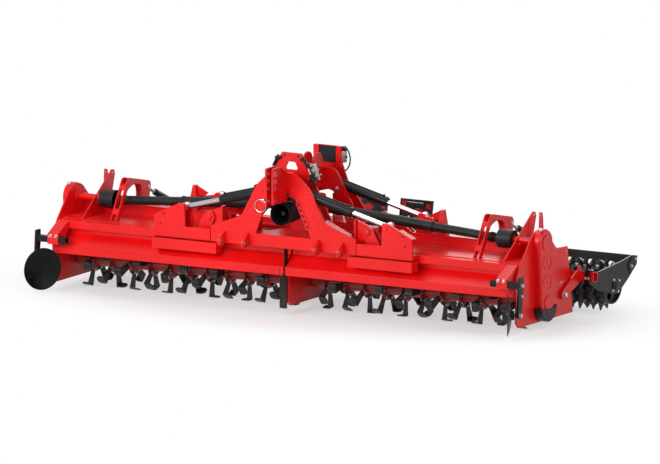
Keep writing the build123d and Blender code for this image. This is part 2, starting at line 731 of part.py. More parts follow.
# Roller frame: red arms and cross tube, with the depth link's uprights
tube_low = (cross_tube[0] - cross_tube_w / 2, cross_tube[1] - cross_tube_w / 2)
tube_high = (cross_tube[0] + cross_tube_w / 2, cross_tube[1] + cross_tube_w / 2)
arm_out = wing_outer + outer_plate_t + side_clear
inner_arm_t = wing_in - side_clear - end_in
with BuildPart() as roller_arms:
    lug(carried.offset(end_in), (0, 0), 45, (*tube_low, *tube_high), inner_arm_t)
    lug(carried.offset(arm_out), (0, 0), 45, (*tube_low, *tube_high), arm_t)
    rod(carried.offset(end_in), (0, 0), arm_pin_r, hood_in - end_in)
    rod(carried.offset(wing_outer), (0, 0), arm_pin_r, arm_out + arm_t - wing_outer)
    with BuildSketch(carried.offset(end_in)):
        with Locations(cross_tube):
            Rectangle(cross_tube_w, cross_tube_w)
    extrude(amount=cross_tube_end - end_in)
    with BuildSketch(carried.offset(end_in)):
        with Locations(cross_tube):
            Rectangle(cross_tube_w - 2 * tube_wall, cross_tube_w - 2 * tube_wall)
    extrude(amount=cross_tube_end - end_in, mode=Mode.SUBTRACT)
    for x in (link_x - link_gap / 2 - rib_t, link_x + link_gap / 2):
        lug(carried.offset(x), link_pivot, 35,
            (tube_low[0], tube_high[1] - 2, tube_high[0], tube_high[1]), rib_t)
    rod(carried.offset(link_x - link_gap / 2 - rib_t), link_pivot, link_pin_r, link_gap + 2 * rib_t)
save_pair(roller_arms, "roller_arms")

with BuildPart() as end_plates:
    for x, thick in ((end_in, inner_arm_t), (end_plate_x, end_plate_t)):
        plate(carried.offset(x),
              [(tube_high[0], tube_low[1]), (tube_high[0], tube_high[1]), (506, 250), (905, 365),
               (beam_at[0] - 20, beam_corner[1]), beam_corner, (beam_corner[0], beam_at[1] - 10),
               (1066, 207), (900, 60), (780, 50), (525, 68)],
              thick, [(*roller_at, journal_r + journal_clear)])
save_pair(end_plates, "end_plates")

# Scraper beam with a scraper between each pair of rings
scraper_dir = Vector(beam_at[0] + 14 - roller_at[0], beam_at[1] - roller_at[1], 0).normalized()
scraper_tip = Vector(*roller_at, 0) + scraper_dir * (roller_r + 12)
with BuildPart() as scraper_beam:
    box_tube(carried.offset(end_in + inner_arm_t), beam_at, beam_corner, tube_wall,
             end_plate_x - end_in - inner_arm_t)
    for index in range(ring_count - 1):
        middle = ring_first + ring_pitch * (index + 0.5)
        plate(carried.offset(middle - scraper_w / 2),
              [(beam_at[0], beam_at[1]), (beam_at[0] + 26, beam_at[1]),
               (scraper_tip.X + 6, scraper_tip.Y - 6), (scraper_tip.X - 4, scraper_tip.Y + 4)], scraper_w)
save_pair(scraper_beam, "scraper_beam")

board_low_edge = beam_corner[1] + 26
board_high = beam_corner[1] + 320
with BuildPart() as light_board:
    for x in (110, 360):
        plate(carried.offset(x),
              [(beam_at[0], beam_corner[1]), (beam_at[0] + board_t, beam_corner[1]),
               (beam_at[0] + board_t, board_high - 130), (beam_at[0], board_high - 130)], 30)
    plate(carried.offset(72), [(beam_at[0] - board_t, board_low_edge), (beam_at[0], board_low_edge),
                               (beam_at[0], board_high), (beam_at[0] - board_t, board_high)], 350)
save_pair(light_board, "light_board")

# Fold cylinders, front and rear, on one line of base pins
cyl_dir = Vector(wing_pin[0] - base_pin[0], 0, wing_pin[1] - base_pin[1])
cyl_len = cyl_dir.length
cyl_dir = cyl_dir.normalized()
fold_cos = cos(radians(fold_angle))
fold_sin = sin(radians(fold_angle))
pin_arm = (wing_pin[0] - hinge_x, wing_pin[1] - hinge_z)
wing_pin_turned = (hinge_x + pin_arm[0] * fold_cos - pin_arm[1] * fold_sin,
                   hinge_z + pin_arm[0] * fold_sin + pin_arm[1] * fold_cos)
folded_len = hypot(wing_pin_turned[0] - base_pin[0], wing_pin_turned[1] - base_pin[1])
barrel_len = folded_len - eye_r - barrel_gap
rod_start = cyl_len - folded_len + rod_end_room
with BuildPart() as fold_barrels:
    for back in (cyl_front_back, cyl_rear_back):
        axis_plane = Plane(origin=(base_pin[0], lip_y + back, base_pin[1]), z_dir=cyl_dir)
        rod(axis_plane, (0, 0), barrel_r, barrel_len)
        rod(facing(back + eye_w / 2), base_pin, barrel_r, eye_w)
        with BuildSketch(axis_plane.offset(rod_end_room - 11)):
            Circle(rod_r + rod_clear)
        extrude(amount=barrel_len, mode=Mode.SUBTRACT)
        with BuildSketch(facing(back + barrel_r + 5)):
            with Locations(base_pin):
                Circle(hinge_pin_r + hinge_clear)
        extrude(amount=2 * barrel_r + 10, mode=Mode.SUBTRACT)
save_pair(fold_barrels, "fold_barrels")

with BuildPart() as fold_rods:
    for back in (cyl_front_back, cyl_rear_back):
        axis_plane = Plane(origin=(base_pin[0], lip_y + back, base_pin[1]), z_dir=cyl_dir)
        rod(axis_plane.offset(rod_start), (0, 0), rod_r, cyl_len - rod_start)
        rod(facing(back + eye_w / 2), wing_pin, eye_r, eye_w)
        rod(facing(back + eye_w / 2 + eye_gap - 1), wing_pin, 20, eye_w + 2 * eye_gap - 2)
save_pair(fold_rods, "fold_rods")

# Telescopic drive shafts with round ends at their joints
shaft_tip_x = cone_in - shaft_out_r - 8
shaft_vec = Vector(shaft_tip_x - shaft_pivot_x, 0, input_z - gearbox_z)
shaft_len = shaft_vec.length
shaft_dir = shaft_vec.normalized()
shaft_in_len = 0.63 * shaft_len
shaft_out_start = 0.55 * shaft_len
shaft_origin = Vector(shaft_pivot_x, lip_y + drive_back, gearbox_z)
shaft_plane = Plane(origin=shaft_origin, z_dir=shaft_dir)
with BuildPart() as shaft_inner:
    rod(shaft_plane, (0, 0), shaft_in_r, shaft_in_len)
    with Locations(shaft_origin):
        Sphere(shaft_in_r)
    with BuildSketch(shaft_plane.offset(150)):
        Circle(shaft_out_r + 0.4)
    extrude(amount=shaft_in_len, mode=Mode.SUBTRACT)
    with BuildSketch(facing(drive_back + shaft_in_r + 5)):
        with Locations((shaft_pivot_x, gearbox_z)):
            Circle(yoke_pin_r + 0.3)
    extrude(amount=2 * shaft_in_r + 10, mode=Mode.SUBTRACT)
save_pair(shaft_inner, "shaft_inner")

with BuildPart() as shaft_outer:
    rod(shaft_plane.offset(shaft_out_start), (0, 0), shaft_out_r, shaft_len - shaft_out_start)
    with Locations(shaft_origin + shaft_dir * shaft_len):
        Sphere(shaft_out_r)
save_pair(shaft_outer, "shaft_outer")

# Depth links between the roller frame's uprights and the arches
link_base = carried.from_local_coords((link_pivot[0], link_pivot[1], link_x))
link_far = Vector(link_x, lip_y + link_eye[0], link_eye[1])
link_vec = link_far - link_base
link_len = link_vec.length
link_plane = Plane(origin=link_base, z_dir=link_vec.normalized())
link_eye_w = link_gap - 11
with BuildPart() as depth_barrel:
    rod(link_plane.offset(48), (0, 0), link_barrel_r, link_barrel_len - 48)
    rod(carried.offset(link_x - link_eye_w / 2), link_pivot, link_barrel_r, link_eye_w)
    rod(link_plane.offset(30), (0, 0), link_eye_w / 2, 30)
    with BuildSketch(link_plane.offset(60)):
        Circle(link_pin_r + rod_clear)
    extrude(amount=link_barrel_len, mode=Mode.SUBTRACT)
    with BuildSketch(carried.offset(link_x - link_gap / 2)):
        with Locations(link_pivot):
            Circle(link_pin_r + hinge_clear)
    extrude(amount=link_gap, mode=Mode.SUBTRACT)
save_pair(depth_barrel, "depth_barrel")

with BuildPart() as depth_rod:
    rod(link_plane.offset(210), (0, 0), link_pin_r, link_len - 210)
    rod(side.offset(link_x - link_eye_w / 2), link_eye, 28, link_eye_w)
    rod(side.offset(link_x - link_eye_w / 2 - 3), link_eye, 14, link_eye_w + 6)
save_pair(depth_rod, "depth_rod")
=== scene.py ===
import json
from math import asin, atan2, cos, degrees, hypot, pi, radians, sin, sqrt

import bmesh
import bpy
from mathutils import Matrix, Vector


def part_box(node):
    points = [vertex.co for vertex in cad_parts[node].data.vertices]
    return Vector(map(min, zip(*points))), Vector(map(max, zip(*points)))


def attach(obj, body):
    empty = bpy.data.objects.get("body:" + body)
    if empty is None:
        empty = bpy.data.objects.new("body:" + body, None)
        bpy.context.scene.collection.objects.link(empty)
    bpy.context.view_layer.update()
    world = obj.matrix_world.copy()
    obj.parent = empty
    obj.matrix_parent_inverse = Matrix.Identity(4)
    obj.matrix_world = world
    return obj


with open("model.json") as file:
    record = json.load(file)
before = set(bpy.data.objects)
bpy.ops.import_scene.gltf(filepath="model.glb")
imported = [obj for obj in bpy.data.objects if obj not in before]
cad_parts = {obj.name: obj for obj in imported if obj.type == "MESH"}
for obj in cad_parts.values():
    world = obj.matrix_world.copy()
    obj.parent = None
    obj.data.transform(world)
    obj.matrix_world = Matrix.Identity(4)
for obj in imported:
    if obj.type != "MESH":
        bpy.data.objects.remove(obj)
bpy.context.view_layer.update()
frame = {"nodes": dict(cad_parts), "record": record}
nodes = frame["nodes"]
SIGNS = (1, -1)
SIDES = (("left", 1), ("right", -1))
FRONT = (0, -1, 0)
REAR = (0, 1, 0)
UP = (0, 0, 1)

# Places are in metres: x across, back behind the hood's lip, z up. Left is +X.
LIP_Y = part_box("hood_left")[0][1]
HOOD_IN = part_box("hood_left")[0][0]
WING_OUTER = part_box("hood_left")[1][0]
SIDE_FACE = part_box("side_plates_left")[1][0]
CASE_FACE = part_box("gearcase_left")[1][0]
POST_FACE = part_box("disc_post_left")[1][0]
END_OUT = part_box("end_plates_left")[1][0]
LIP_LOW = 0.373
ROTOR_BACK = 0.485
ROTOR_Z = 0.265
DRIVE_BACK = 0.460
GEARBOX_Z = 0.975
INPUT_Z = 0.852
HINGE = (0.870, 0.850)
BASE_PIN = (0.100, 1.195)
WING_PIN = (1.115, 0.932)
ARM_PIVOT = (0.864, 0.283)
ROLLER_AT = (0.835, 0.131)
BEAM_AT = (1.126, 0.357)
TOOTH_R = 0.250
CYLINDER_BACKS = (0.055, 0.715)
BARREL_R = 0.045
BARREL_LEN = 0.641
PLATE_FRONT = -0.020
MAST_FRONT = 0.139
TOWER_FRONT = 0.640
TOWER_REAR = 0.858
LUG_EYE = (-0.080, 0.664)
LUG_PLACES = (0.3905, 0.6517)
LUG_T = 0.030
TOP_LINK_BACK = -0.250
TOP_LINK_HOLES = (1.134, 1.249, 1.317, 1.390)
LINK_X = WING_OUTER - 0.5395
LINK_EYE = (0.810, 0.935)
LINK_OUT = 0.0355
CROSS_TUBE = (0.261, 0.194)

# The roller frame hangs by this angle below its working position.
PARK_DROP = atan2(ROLLER_AT[1], ROLLER_AT[0]) - asin((TOOTH_R - ARM_PIVOT[1]) / hypot(*ROLLER_AT))


def at(x, back, z):
    """A point in the machine's frame."""
    return Vector((x, LIP_Y + back, z))


def carried(x, u, v):
    """A point on the roller frame, u behind and v above the arm's pivot in the working position."""
    back = ARM_PIVOT[0] + u * cos(PARK_DROP) + v * sin(PARK_DROP)
    return at(x, back, ARM_PIVOT[1] - u * sin(PARK_DROP) + v * cos(PARK_DROP))


# Shader helpers
def set_values(node, values):
    """Set inputs of a node, by name or number, to fixed values."""
    for name, value in values.items():
        node.inputs[name].default_value = value


def link(tree, node, sources):
    """Feed inputs of a node, by name or number, from other sockets."""
    for name, source in sources.items():
        tree.links.new(source, node.inputs[name])


def shader_node(tree, kind, values=None, sources=None, operation=None):
    """A shader node with its values set and its inputs linked."""
    node = tree.nodes.new("ShaderNode" + kind)
    if operation is not None:
        node.operation = operation
    set_values(node, values or {})
    link(tree, node, sources or {})
    return node


def new_material(name):
    """A material, its node tree, its shader and the object's own coordinates."""
    material = bpy.data.materials.new(name)
    material.use_nodes = True
    tree = material.node_tree
    place = shader_node(tree, "TexCoord").outputs["Object"]
    return material, tree, tree.nodes["Principled BSDF"], place


def noise(tree, place, scale, detail=4.0):
    """Random pattern about 0.5; a higher scale makes it finer."""
    values = {"Scale": scale, "Detail": detail}
    return shader_node(tree, "TexNoise", values, {"Vector": place}).outputs["Fac"]


def ramp(tree, source, stops):
    """Colours along the range of a value."""
    node = shader_node(tree, "ValToRGB", sources={"Fac": source})
    elements = node.color_ramp.elements
    while len(elements) < len(stops):
        elements.new(0.5)
    for element, (stop, colour) in zip(elements, stops):
        element.position = stop
        element.color = (*colour, 1)
    return node.outputs["Color"]


def ranged(tree, source, low, high, first=0.3, last=0.7, smooth=False):
    """A value between first and last, spread from low to high."""
    limits = {"From Min": first, "From Max": last, "To Min": low, "To Max": high}
    node = shader_node(tree, "MapRange", limits, {"Value": source})
    if smooth:
        node.interpolation_type = "SMOOTHSTEP"
    return node.outputs["Result"]


def combined(tree, operation, first, second):
    """Result of a math operation on two values."""
    return shader_node(tree, "Math", sources={0: first, 1: second}, operation=operation).outputs["Value"]


def edge_mask(tree, radius):
    """Rounded normal, and a mask that is high along the edges."""
    bevel = shader_node(tree, "Bevel", {"Radius": radius})
    bevel.samples = 4
    rounded = bevel.outputs["Normal"]
    flat = shader_node(tree, "NewGeometry").outputs["Normal"]
    dot = shader_node(tree, "VectorMath", sources={0: rounded, 1: flat}, operation="DOT_PRODUCT")
    return rounded, ranged(tree, dot.outputs["Value"], 0, 1, first=0.97, last=0.80)


def mixed(tree, factor, first, second):
    """Colour between two colours, each a tuple or a socket."""
    node = tree.nodes.new("ShaderNodeMix")
    node.data_type = "RGBA"
    tree.links.new(factor, node.inputs["Factor"])
    for socket, value in ((node.inputs["A"], first), (node.inputs["B"], second)):
        if isinstance(value, tuple):
            socket.default_value = (*value, 1)
        else:
            tree.links.new(value, socket)
    return node.outputs["Result"]


def bumped(tree, shader, height, strength, distance, normal=None):
    """Fine relief on a shader's surface."""
    bump = shader_node(tree, "Bump", {"Strength": strength, "Distance": distance}, {"Height": height})
    if normal is not None:
        link(tree, bump, {"Normal": normal})
    link(tree, shader, {"Normal": bump.outputs["Normal"]})


# Materials
EDGE_RADIUS = 0.004
COAT_ROUGHNESS = 0.12
DUST = (0.30, 0.24, 0.18)
DUST_HEIGHTS = (0.35, 0.05)
MOULDED_SPECULAR = 0.18
SCUFF = (0.12, 0.105, 0.095)
ROTOR_ZONES = ((0.468, (0.42, 0.008, 0.010)), (0.474, (0.030, 0.030, 0.033)),
               (0.80, (0.045, 0.044, 0.046)), (0.97, (0.20, 0.195, 0.19)))
BLADE_FROM = (0.126, 0.130)
BLADE_METAL = 0.75


def painted(name, dark, light, worn, rough, coat, dust, specular=0.28):
    """Sprayed paint: slow tone drift, orange peel, rubbed edges and a trace of dust low down."""
    material, tree, shader, place = new_material(name)
    tone = ramp(tree, noise(tree, place, scale=1.7), ((0.35, dark), (0.65, light)))
    rounded, edges = edge_mask(tree, EDGE_RADIUS)
    flecks = noise(tree, place, scale=38.0, detail=8.0)
    rubbed = combined(tree, "MULTIPLY", edges, ranged(tree, flecks, low=0.0, high=0.75))
    height = shader_node(tree, "SeparateXYZ", sources={"Vector": place}).outputs["Z"]
    veil = combined(tree, "MULTIPLY", ranged(tree, height, 0, dust, *DUST_HEIGHTS), flecks)
    colour = mixed(tree, veil, mixed(tree, rubbed, tone, worn), DUST)
    rough_map = ranged(tree, noise(tree, place, scale=9.0), low=rough - 0.06, high=rough + 0.08)
    link(tree, shader, {"Base Color": colour, "Roughness": rough_map})
    set_values(shader, {"Coat Weight": coat, "Coat Roughness": COAT_ROUGHNESS,
                        "Specular IOR Level": specular})
    peel = noise(tree, place, scale=420.0, detail=2.0)
    bumped(tree, shader, peel, strength=0.06, distance=0.0006, normal=rounded)
    return material


def metal(name, dark, light, rough, grain, stretch=(1, 1, 1), metallic=1.0, relief=0.08):
    """Bare or plated metal, with fine grain drawn out along the axis where stretch is small."""
    material, tree, shader, place = new_material(name)
    drawn = shader_node(tree, "Mapping", {"Scale": stretch}, {"Vector": place}).outputs["Vector"]
    lines = noise(tree, drawn, grain, detail=6.0)
    tone = ramp(tree, lines, ((0.3, dark), (0.7, light)))
    rough_map = ranged(tree, lines, low=rough * 0.75, high=rough * 1.3)
    link(tree, shader, {"Base Color": tone, "Roughness": rough_map})
    set_values(shader, {"Metallic": metallic})
    bumped(tree, shader, lines, strength=relief, distance=0.0004)
    return material


def moulded(name, dark, light, rough, grain):
    """Moulded plastic or rubber with a fine grain."""
    material, tree, shader, place = new_material(name)
    tone = ramp(tree, noise(tree, place, scale=6.0), ((0.35, dark), (0.65, light)))
    pores = noise(tree, place, grain, detail=3.0)
    rough_map = ranged(tree, pores, low=rough - 0.07, high=rough + 0.07)
    link(tree, shader, {"Base Color": tone, "Roughness": rough_map})
    set_values(shader, {"Specular IOR Level": MOULDED_SPECULAR})
    bumped(tree, shader, pores, strength=0.15, distance=0.0006)
    return material


def rotor_paint(name):
    """Red shaft and flanges, dark forged blades beyond them, bright where the soil rubs the tips."""
    material, tree, shader, place = new_material(name)
    parts = shader_node(tree, "SeparateXYZ", sources={"Vector": place}).outputs
    flat = shader_node(tree, "CombineXYZ")
    for axis, centre in (("Y", LIP_Y + ROTOR_BACK), ("Z", ROTOR_Z)):
        shift = shader_node(tree, "Math", {1: centre}, {0: parts[axis]}, operation="SUBTRACT")
        link(tree, flat, {axis: shift.outputs["Value"]})
    length = shader_node(tree, "VectorMath", sources={0: flat.outputs["Vector"]}, operation="LENGTH")
    radius = length.outputs["Value"]
    scuffs = noise(tree, place, scale=30.0, detail=8.0)
    zone = ramp(tree, ranged(tree, radius, 0, 1, first=0, last=ROTOR_Z), ROTOR_ZONES)
    colour = mixed(tree, ranged(tree, scuffs, low=0.0, high=0.35), zone, SCUFF)
    rough_map = ranged(tree, scuffs, low=0.28, high=0.5)
    shine = ranged(tree, radius, 0, BLADE_METAL, *BLADE_FROM)
    link(tree, shader, {"Base Color": colour, "Roughness": rough_map, "Metallic": shine})
    bumped(tree, shader, scuffs, strength=0.12, distance=0.001)
    return material


RED = painted("red_paint", (0.74, 0.004, 0.005), (0.86, 0.007, 0.008), worn=(0.80, 0.07, 0.06),
              rough=0.34, coat=0.06, dust=0.12)
BLACK = painted("black_paint", (0.006, 0.006, 0.007), (0.013, 0.013, 0.014), worn=(0.10, 0.10, 0.10),
                rough=0.36, coat=0.03, dust=0.15, specular=0.18)
BLADE_PAINT = painted("blade_paint", (0.008, 0.008, 0.008), (0.020, 0.019, 0.018), worn=(0.22, 0.21, 0.20),
                      rough=0.42, coat=0.04, dust=0.0)
CHROME = metal("chrome", (0.42, 0.42, 0.435), (0.50, 0.50, 0.52), rough=0.17, grain=40.0,
               stretch=(0.3, 8, 8), relief=0.012)
STEEL = metal("bright_steel", (0.42, 0.42, 0.43), (0.62, 0.62, 0.62), rough=0.30, grain=60.0,
              stretch=(8, 0.5, 8))
ZINC = metal("zinc", (0.36, 0.36, 0.36), (0.52, 0.52, 0.51), rough=0.34, grain=90.0)
GREASED = metal("greased_steel", (0.10, 0.10, 0.10), (0.19, 0.185, 0.18), rough=0.36, grain=70.0)
DISC_STEEL = metal("disc_steel", (0.005, 0.005, 0.006), (0.012, 0.012, 0.013), rough=0.40, grain=25.0,
                   metallic=0.8)
PLASTIC = moulded("black_plastic", (0.010, 0.010, 0.011), (0.020, 0.020, 0.021), rough=0.46, grain=700.0)
RUBBER = moulded("hose_rubber", (0.008, 0.008, 0.008), (0.016, 0.016, 0.016), rough=0.55, grain=500.0)
LENS = moulded("red_panel", (0.50, 0.006, 0.010), (0.62, 0.010, 0.014), rough=0.25, grain=260.0)
ROTOR_PAINT = rotor_paint("rotor_paint")

SLOT_MATERIALS = {"red_paint": RED, "black_paint": BLACK, "chrome_rod": CHROME, "bright_steel": STEEL,
                  "black_plastic": PLASTIC}
OWN_MATERIALS = {"rotor": ROTOR_PAINT, "disc": DISC_STEEL, "pto_shaft": DISC_STEEL}

for entry in frame["record"]["subparts"]:
    label = entry["node"]
    base = label.rsplit("_", 1)[0] if label.endswith(("_left", "_right")) else label
    finish = OWN_MATERIALS.get(base, SLOT_MATERIALS[entry["material_slot"]])
    for spot in nodes[label].material_slots:
        spot.material = finish


# Mesh helpers
def placed(place, axis):
    """Transform that sets the origin at a place and turns +Z to an axis."""
    return Matrix.Translation(place) @ Vector(axis).to_track_quat("Z", "Y").to_matrix().to_4x4()


def turns(steps):
    """Equal turns round a circle."""
    return [2 * pi * k / steps for k in range(steps)]


def walls(bm, lower, upper):
    """Faces between two closed rings of points."""
    faces = []
    for k in range(len(lower)):
        j = (k + 1) % len(lower)
        faces.append(bm.faces.new((lower[k], lower[j], upper[j], upper[k])))
    return faces


def round_rings(bm, place, axis, profile, steps):
    """A ring of points round an axis for each (radius, height) of a profile."""
    to_place = placed(place, axis)
    rings = []
    for radius, height in profile:
        points = [Vector((radius * cos(turn), radius * sin(turn), height)) for turn in turns(steps)]
        rings.append([bm.verts.new(to_place @ point) for point in points])
    return rings


def turned(bm, place, axis, profile, steps):
    """Closed form of revolution about an axis; profile is (radius, height) from base to top."""
    rings = round_rings(bm, place, axis, profile, steps)
    for lower, upper in zip(rings, rings[1:]):
        walls(bm, lower, upper)
    bm.faces.new(rings[0][::-1])
    bm.faces.new(rings[-1])


def ring_band(bm, place, axis, inner, outer, low, high, steps=40):
    """A collar round a shaft, with rounded outer edges."""
    soft = min(0.25 * (high - low), 0.3 * (outer - inner))
    profile = ((inner, low), (outer - soft, low), (outer, low + soft), (outer, high - soft),
               (outer - soft, high), (inner, high))
    rings = round_rings(bm, place, axis, profile, steps)
    for lower, upper in zip(rings, rings[1:] + rings[:1]):
        walls(bm, lower, upper)


# Profiles of a bolt, in shares of its width, and of a pin's head, in shares of its radius and height
BOLT_WASHER = ((0.68, 0), (0.68, 0.10), (0.60, 0.14))
BOLT_HEAD = ((0.54, 0), (0.577, 0.05), (0.577, 0.46), (0.50, 0.55), (0.20, 0.57))
PIN_HEAD = ((1.30, 0), (1.30, 0.25), (1.22, 0.35), (1, 0.35), (1, 0.85), (0.86, 1), (0.40, 1), (0.34, 0.90))


def scaled(profile, radius, height):
    """A profile in shares, brought to its size."""
    return [(share * radius, rise * height) for share, rise in profile]


def hex_bolt(bm, place, axis, width):
    """Washer, chamfered hex head and a dome."""
    turned(bm, place, axis, scaled(BOLT_WASHER, width, width), steps=20)
    head = Vector(place) + Vector(axis).normalized() * BOLT_WASHER[-1][1] * width
    turned(bm, head, axis, scaled(BOLT_HEAD, width, width), steps=6)


def pin_head(bm, place, axis, radius, height):
    """Domed pin head on a washer, with a dimple ring."""
    turned(bm, place, axis, scaled(PIN_HEAD, radius, height), steps=32)


def bevelled(bm, corners, depth_vector, soft):
    """Prism over a closed outline of points, with its edges rounded."""
    shift = Vector(depth_vector)
    near = [bm.verts.new(Vector(corner)) for corner in corners]
    far = [bm.verts.new(Vector(corner) + shift) for corner in corners]
    faces = [bm.faces.new(near[::-1]), bm.faces.new(far), *walls(bm, near, far)]
    edges = {edge for face in faces for edge in face.edges}
    bmesh.ops.bevel(bm, geom=list(edges), offset=soft, segments=2, affect="EDGES", clamp_overlap=True)


def block(bm, low, high, soft):
    """Box between two corners with its edges rounded."""
    corners = [(low.x, low.y, low.z), (high.x, low.y, low.z), (high.x, high.y, low.z),
               (low.x, high.y, low.z)]
    bevelled(bm, corners, (0, 0, high.z - low.z), soft)


def bar(bm, start, end, radius, steps=14):
    """Round bar between two points, with its ends eased."""
    run = end - start
    length = run.length
    soft = min(0.3 * radius, 0.2 * length)
    profile = ((radius - soft, 0), (radius, soft), (radius, length - soft), (radius - soft, length))
    turned(bm, start, run, profile, steps)


def hoop(bm, centre, radius, wire, steps=40, sides=8):
    """Ring of round wire standing in the front plane."""
    rings = []
    for turn in turns(steps):
        out = Vector((cos(turn), 0, sin(turn)))
        points = [centre + out * (radius + wire * cos(roll)) + Vector((0, wire * sin(roll), 0))
                  for roll in turns(sides)]
        rings.append([bm.verts.new(point) for point in points])
    for ring, following in zip(rings, rings[1:] + rings[:1]):
        walls(bm, ring, following)


def piece(name, bm, material, body):
    """Turn a built mesh into a piece that rides on a body."""
    bmesh.ops.recalc_face_normals(bm, faces=bm.faces[:])
    mesh = bpy.data.meshes.new(name)
    bm.to_mesh(mesh)
    bm.free()
    mesh.materials.append(material)
    obj = bpy.data.objects.new(name, mesh)
    bpy.context.scene.collection.objects.link(obj)
    mesh.shade_smooth()
    mesh.set_sharp_from_angle(angle=radians(32))
    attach(obj, body)


# Centre frame: pin heads and bosses in paint
LEG_BOSSES = ((0.242, 1.178), (0.316, 0.978))
HINGE_FACES = ((0.067, FRONT), (0.158, REAR), (0.597, FRONT), (0.688, REAR))
bm = bmesh.new()
for sign in SIGNS:
    pin_head(bm, at(sign * BASE_PIN[0], PLATE_FRONT, BASE_PIN[1]), FRONT, radius=0.026, height=0.010)
    pin_head(bm, at(sign * BASE_PIN[0], TOWER_REAR, BASE_PIN[1]), REAR, radius=0.026, height=0.012)
    for x, z in LEG_BOSSES:
        pin_head(bm, at(sign * x, PLATE_FRONT, z), FRONT, radius=0.015, height=0.006)
    for back, facing in HINGE_FACES:
        pin_head(bm, at(sign * HINGE[0], back, HINGE[1]), facing, radius=0.024, height=0.010)
piece("base_pin_heads", bm, RED, "centre_frame")

# Centre frame: bright bushes in the linkage's eyes
LUG_BUSH = {"inner": 0.0194, "outer": 0.032, "low": 0.0, "high": 0.004}
TOP_BUSH = {"inner": 0.0166, "outer": 0.024, "low": 0.0, "high": 0.002, "steps": 24}
TOP_FACES = ((0.0455, 1), (0.0255, -1))
bm = bmesh.new()
for sign in SIGNS:
    for x in LUG_PLACES:
        for facing in (-1, 1):
            ring_band(bm, at(sign * x + facing * LUG_T / 2, *LUG_EYE), (facing, 0, 0), **LUG_BUSH)
    for z in TOP_LINK_HOLES:
        for x, way in TOP_FACES:
            ring_band(bm, at(sign * x, TOP_LINK_BACK, z), (sign * way, 0, 0), **TOP_BUSH)
piece("linkage_bushes", bm, STEEL, "centre_frame")

# Centre frame: the few bolts that show on the rear tower
TOWER_FRONT_BOLTS = ((0.210, 1.134, 0.030), (0.385, 0.875, 0.024))
TOWER_REAR_BOLTS = ((0.125, 1.475), (0.125, 1.365), (0.180, 1.180), (0.390, 0.870))
bm = bmesh.new()
for sign in SIGNS:
    for x, z, width in TOWER_FRONT_BOLTS:
        hex_bolt(bm, at(sign * x, TOWER_FRONT, z), FRONT, width)
    for x, z in TOWER_REAR_BOLTS:
        hex_bolt(bm, at(sign * x, TOWER_REAR, z), REAR, width=0.024)
piece("frame_bolts", bm, ZINC, "centre_frame")

# Ring pin on the A-frame's leg, hung from a stud
RING_AT = (-0.244, PLATE_FRONT - 0.008, 1.028)
RING_R = 0.060
RING_WIRE = 0.0045
STUD_AT = (RING_AT[0] + 0.030, PLATE_FRONT, RING_AT[2] + RING_R * 0.87 + 0.004)
STUD = ((0.010, 0), (0.010, 0.012), (0.014, 0.012), (0.014, 0.016), (0.010, 0.018))
bm = bmesh.new()
hoop(bm, at(*RING_AT), RING_R, RING_WIRE)
turned(bm, at(*STUD_AT), FRONT, STUD, steps=16)
piece("ring_pin", bm, CHROME, "centre_frame")

# Slotted strip along the inner edge of the A-frame's left leg
STRIP_TOP = at(0.160, PLATE_FRONT, 1.098)
STRIP_FOOT = at(0.280, PLATE_FRONT, 0.840)
STRIP_HALF = 0.024
STRIP_T = 0.007
STRIP_ALONG = (STRIP_FOOT - STRIP_TOP).normalized()
STRIP_ACROSS = Vector((-STRIP_ALONG.z, 0, STRIP_ALONG.x))
edge = STRIP_ACROSS * STRIP_HALF
bm = bmesh.new()
corners = [STRIP_TOP - edge, STRIP_TOP + edge, STRIP_FOOT + edge, STRIP_FOOT - edge]
bevelled(bm, corners, (0, -STRIP_T, 0), soft=0.0015)
piece("slot_strip", bm, RED, "centre_frame")

# Painted shade: thin black patches on that strip stand for the shade inside its slots, and thin black discs
# stand for the shade inside the holes in the mast
SLOT_SHARES = (0.10, 0.30, 0.50, 0.70, 0.90)
SLOT_HALF = STRIP_ALONG * 0.017
SLOT_WIDE = STRIP_ACROSS * 0.0085
SLOT_IN, SLOT_PROUD = 0.0065, 0.0012
MAST_HOLE = (0.072, 1.508)
HOLE_SHADE = ((0.011, 0), (0.011, 0.002), (0.008, 0.003))
bm = bmesh.new()
# each slot is a thin black patch proud of the strip, painted as the shade inside the slot
for share in SLOT_SHARES:
    middle = STRIP_TOP.lerp(STRIP_FOOT, share) + Vector((0, -SLOT_IN, 0))
    upper, lower = middle - SLOT_HALF, middle + SLOT_HALF
    corners = [upper - SLOT_WIDE, upper + SLOT_WIDE, lower + SLOT_WIDE, lower - SLOT_WIDE]
    bevelled(bm, corners, (0, -SLOT_PROUD, 0), soft=0.0004)
# each mast hole is a thin black disc on the plate, painted as the shade inside the hole
for sign in SIGNS:
    turned(bm, at(sign * MAST_HOLE[0], MAST_FRONT, MAST_HOLE[1]), FRONT, HOLE_SHADE, steps=20)
piece("strip_slots", bm, RUBBER, "centre_frame")

# Hose rest under the A-frame's head
REST_BLOCKS = (((-0.040, 0.000, 1.098), (0.142, 0.020, 1.116), 0.004),
               ((0.020, 0.002, 1.112), (0.062, 0.018, 1.150), 0.005),
               ((-0.040, -0.030, 1.098), (-0.022, 0.020, 1.112), 0.004))
REST_CAP_AT = (0.041, -0.004, 1.150)
REST_CAP = ((0.026, 0), (0.030, 0.006), (0.030, 0.018), (0.020, 0.026))
bm = bmesh.new()
for low, high, soft in REST_BLOCKS:
    block(bm, at(*low), at(*high), soft)
turned(bm, at(*REST_CAP_AT), UP, REST_CAP, steps=20)
piece("hose_rest", bm, BLACK, "centre_frame")

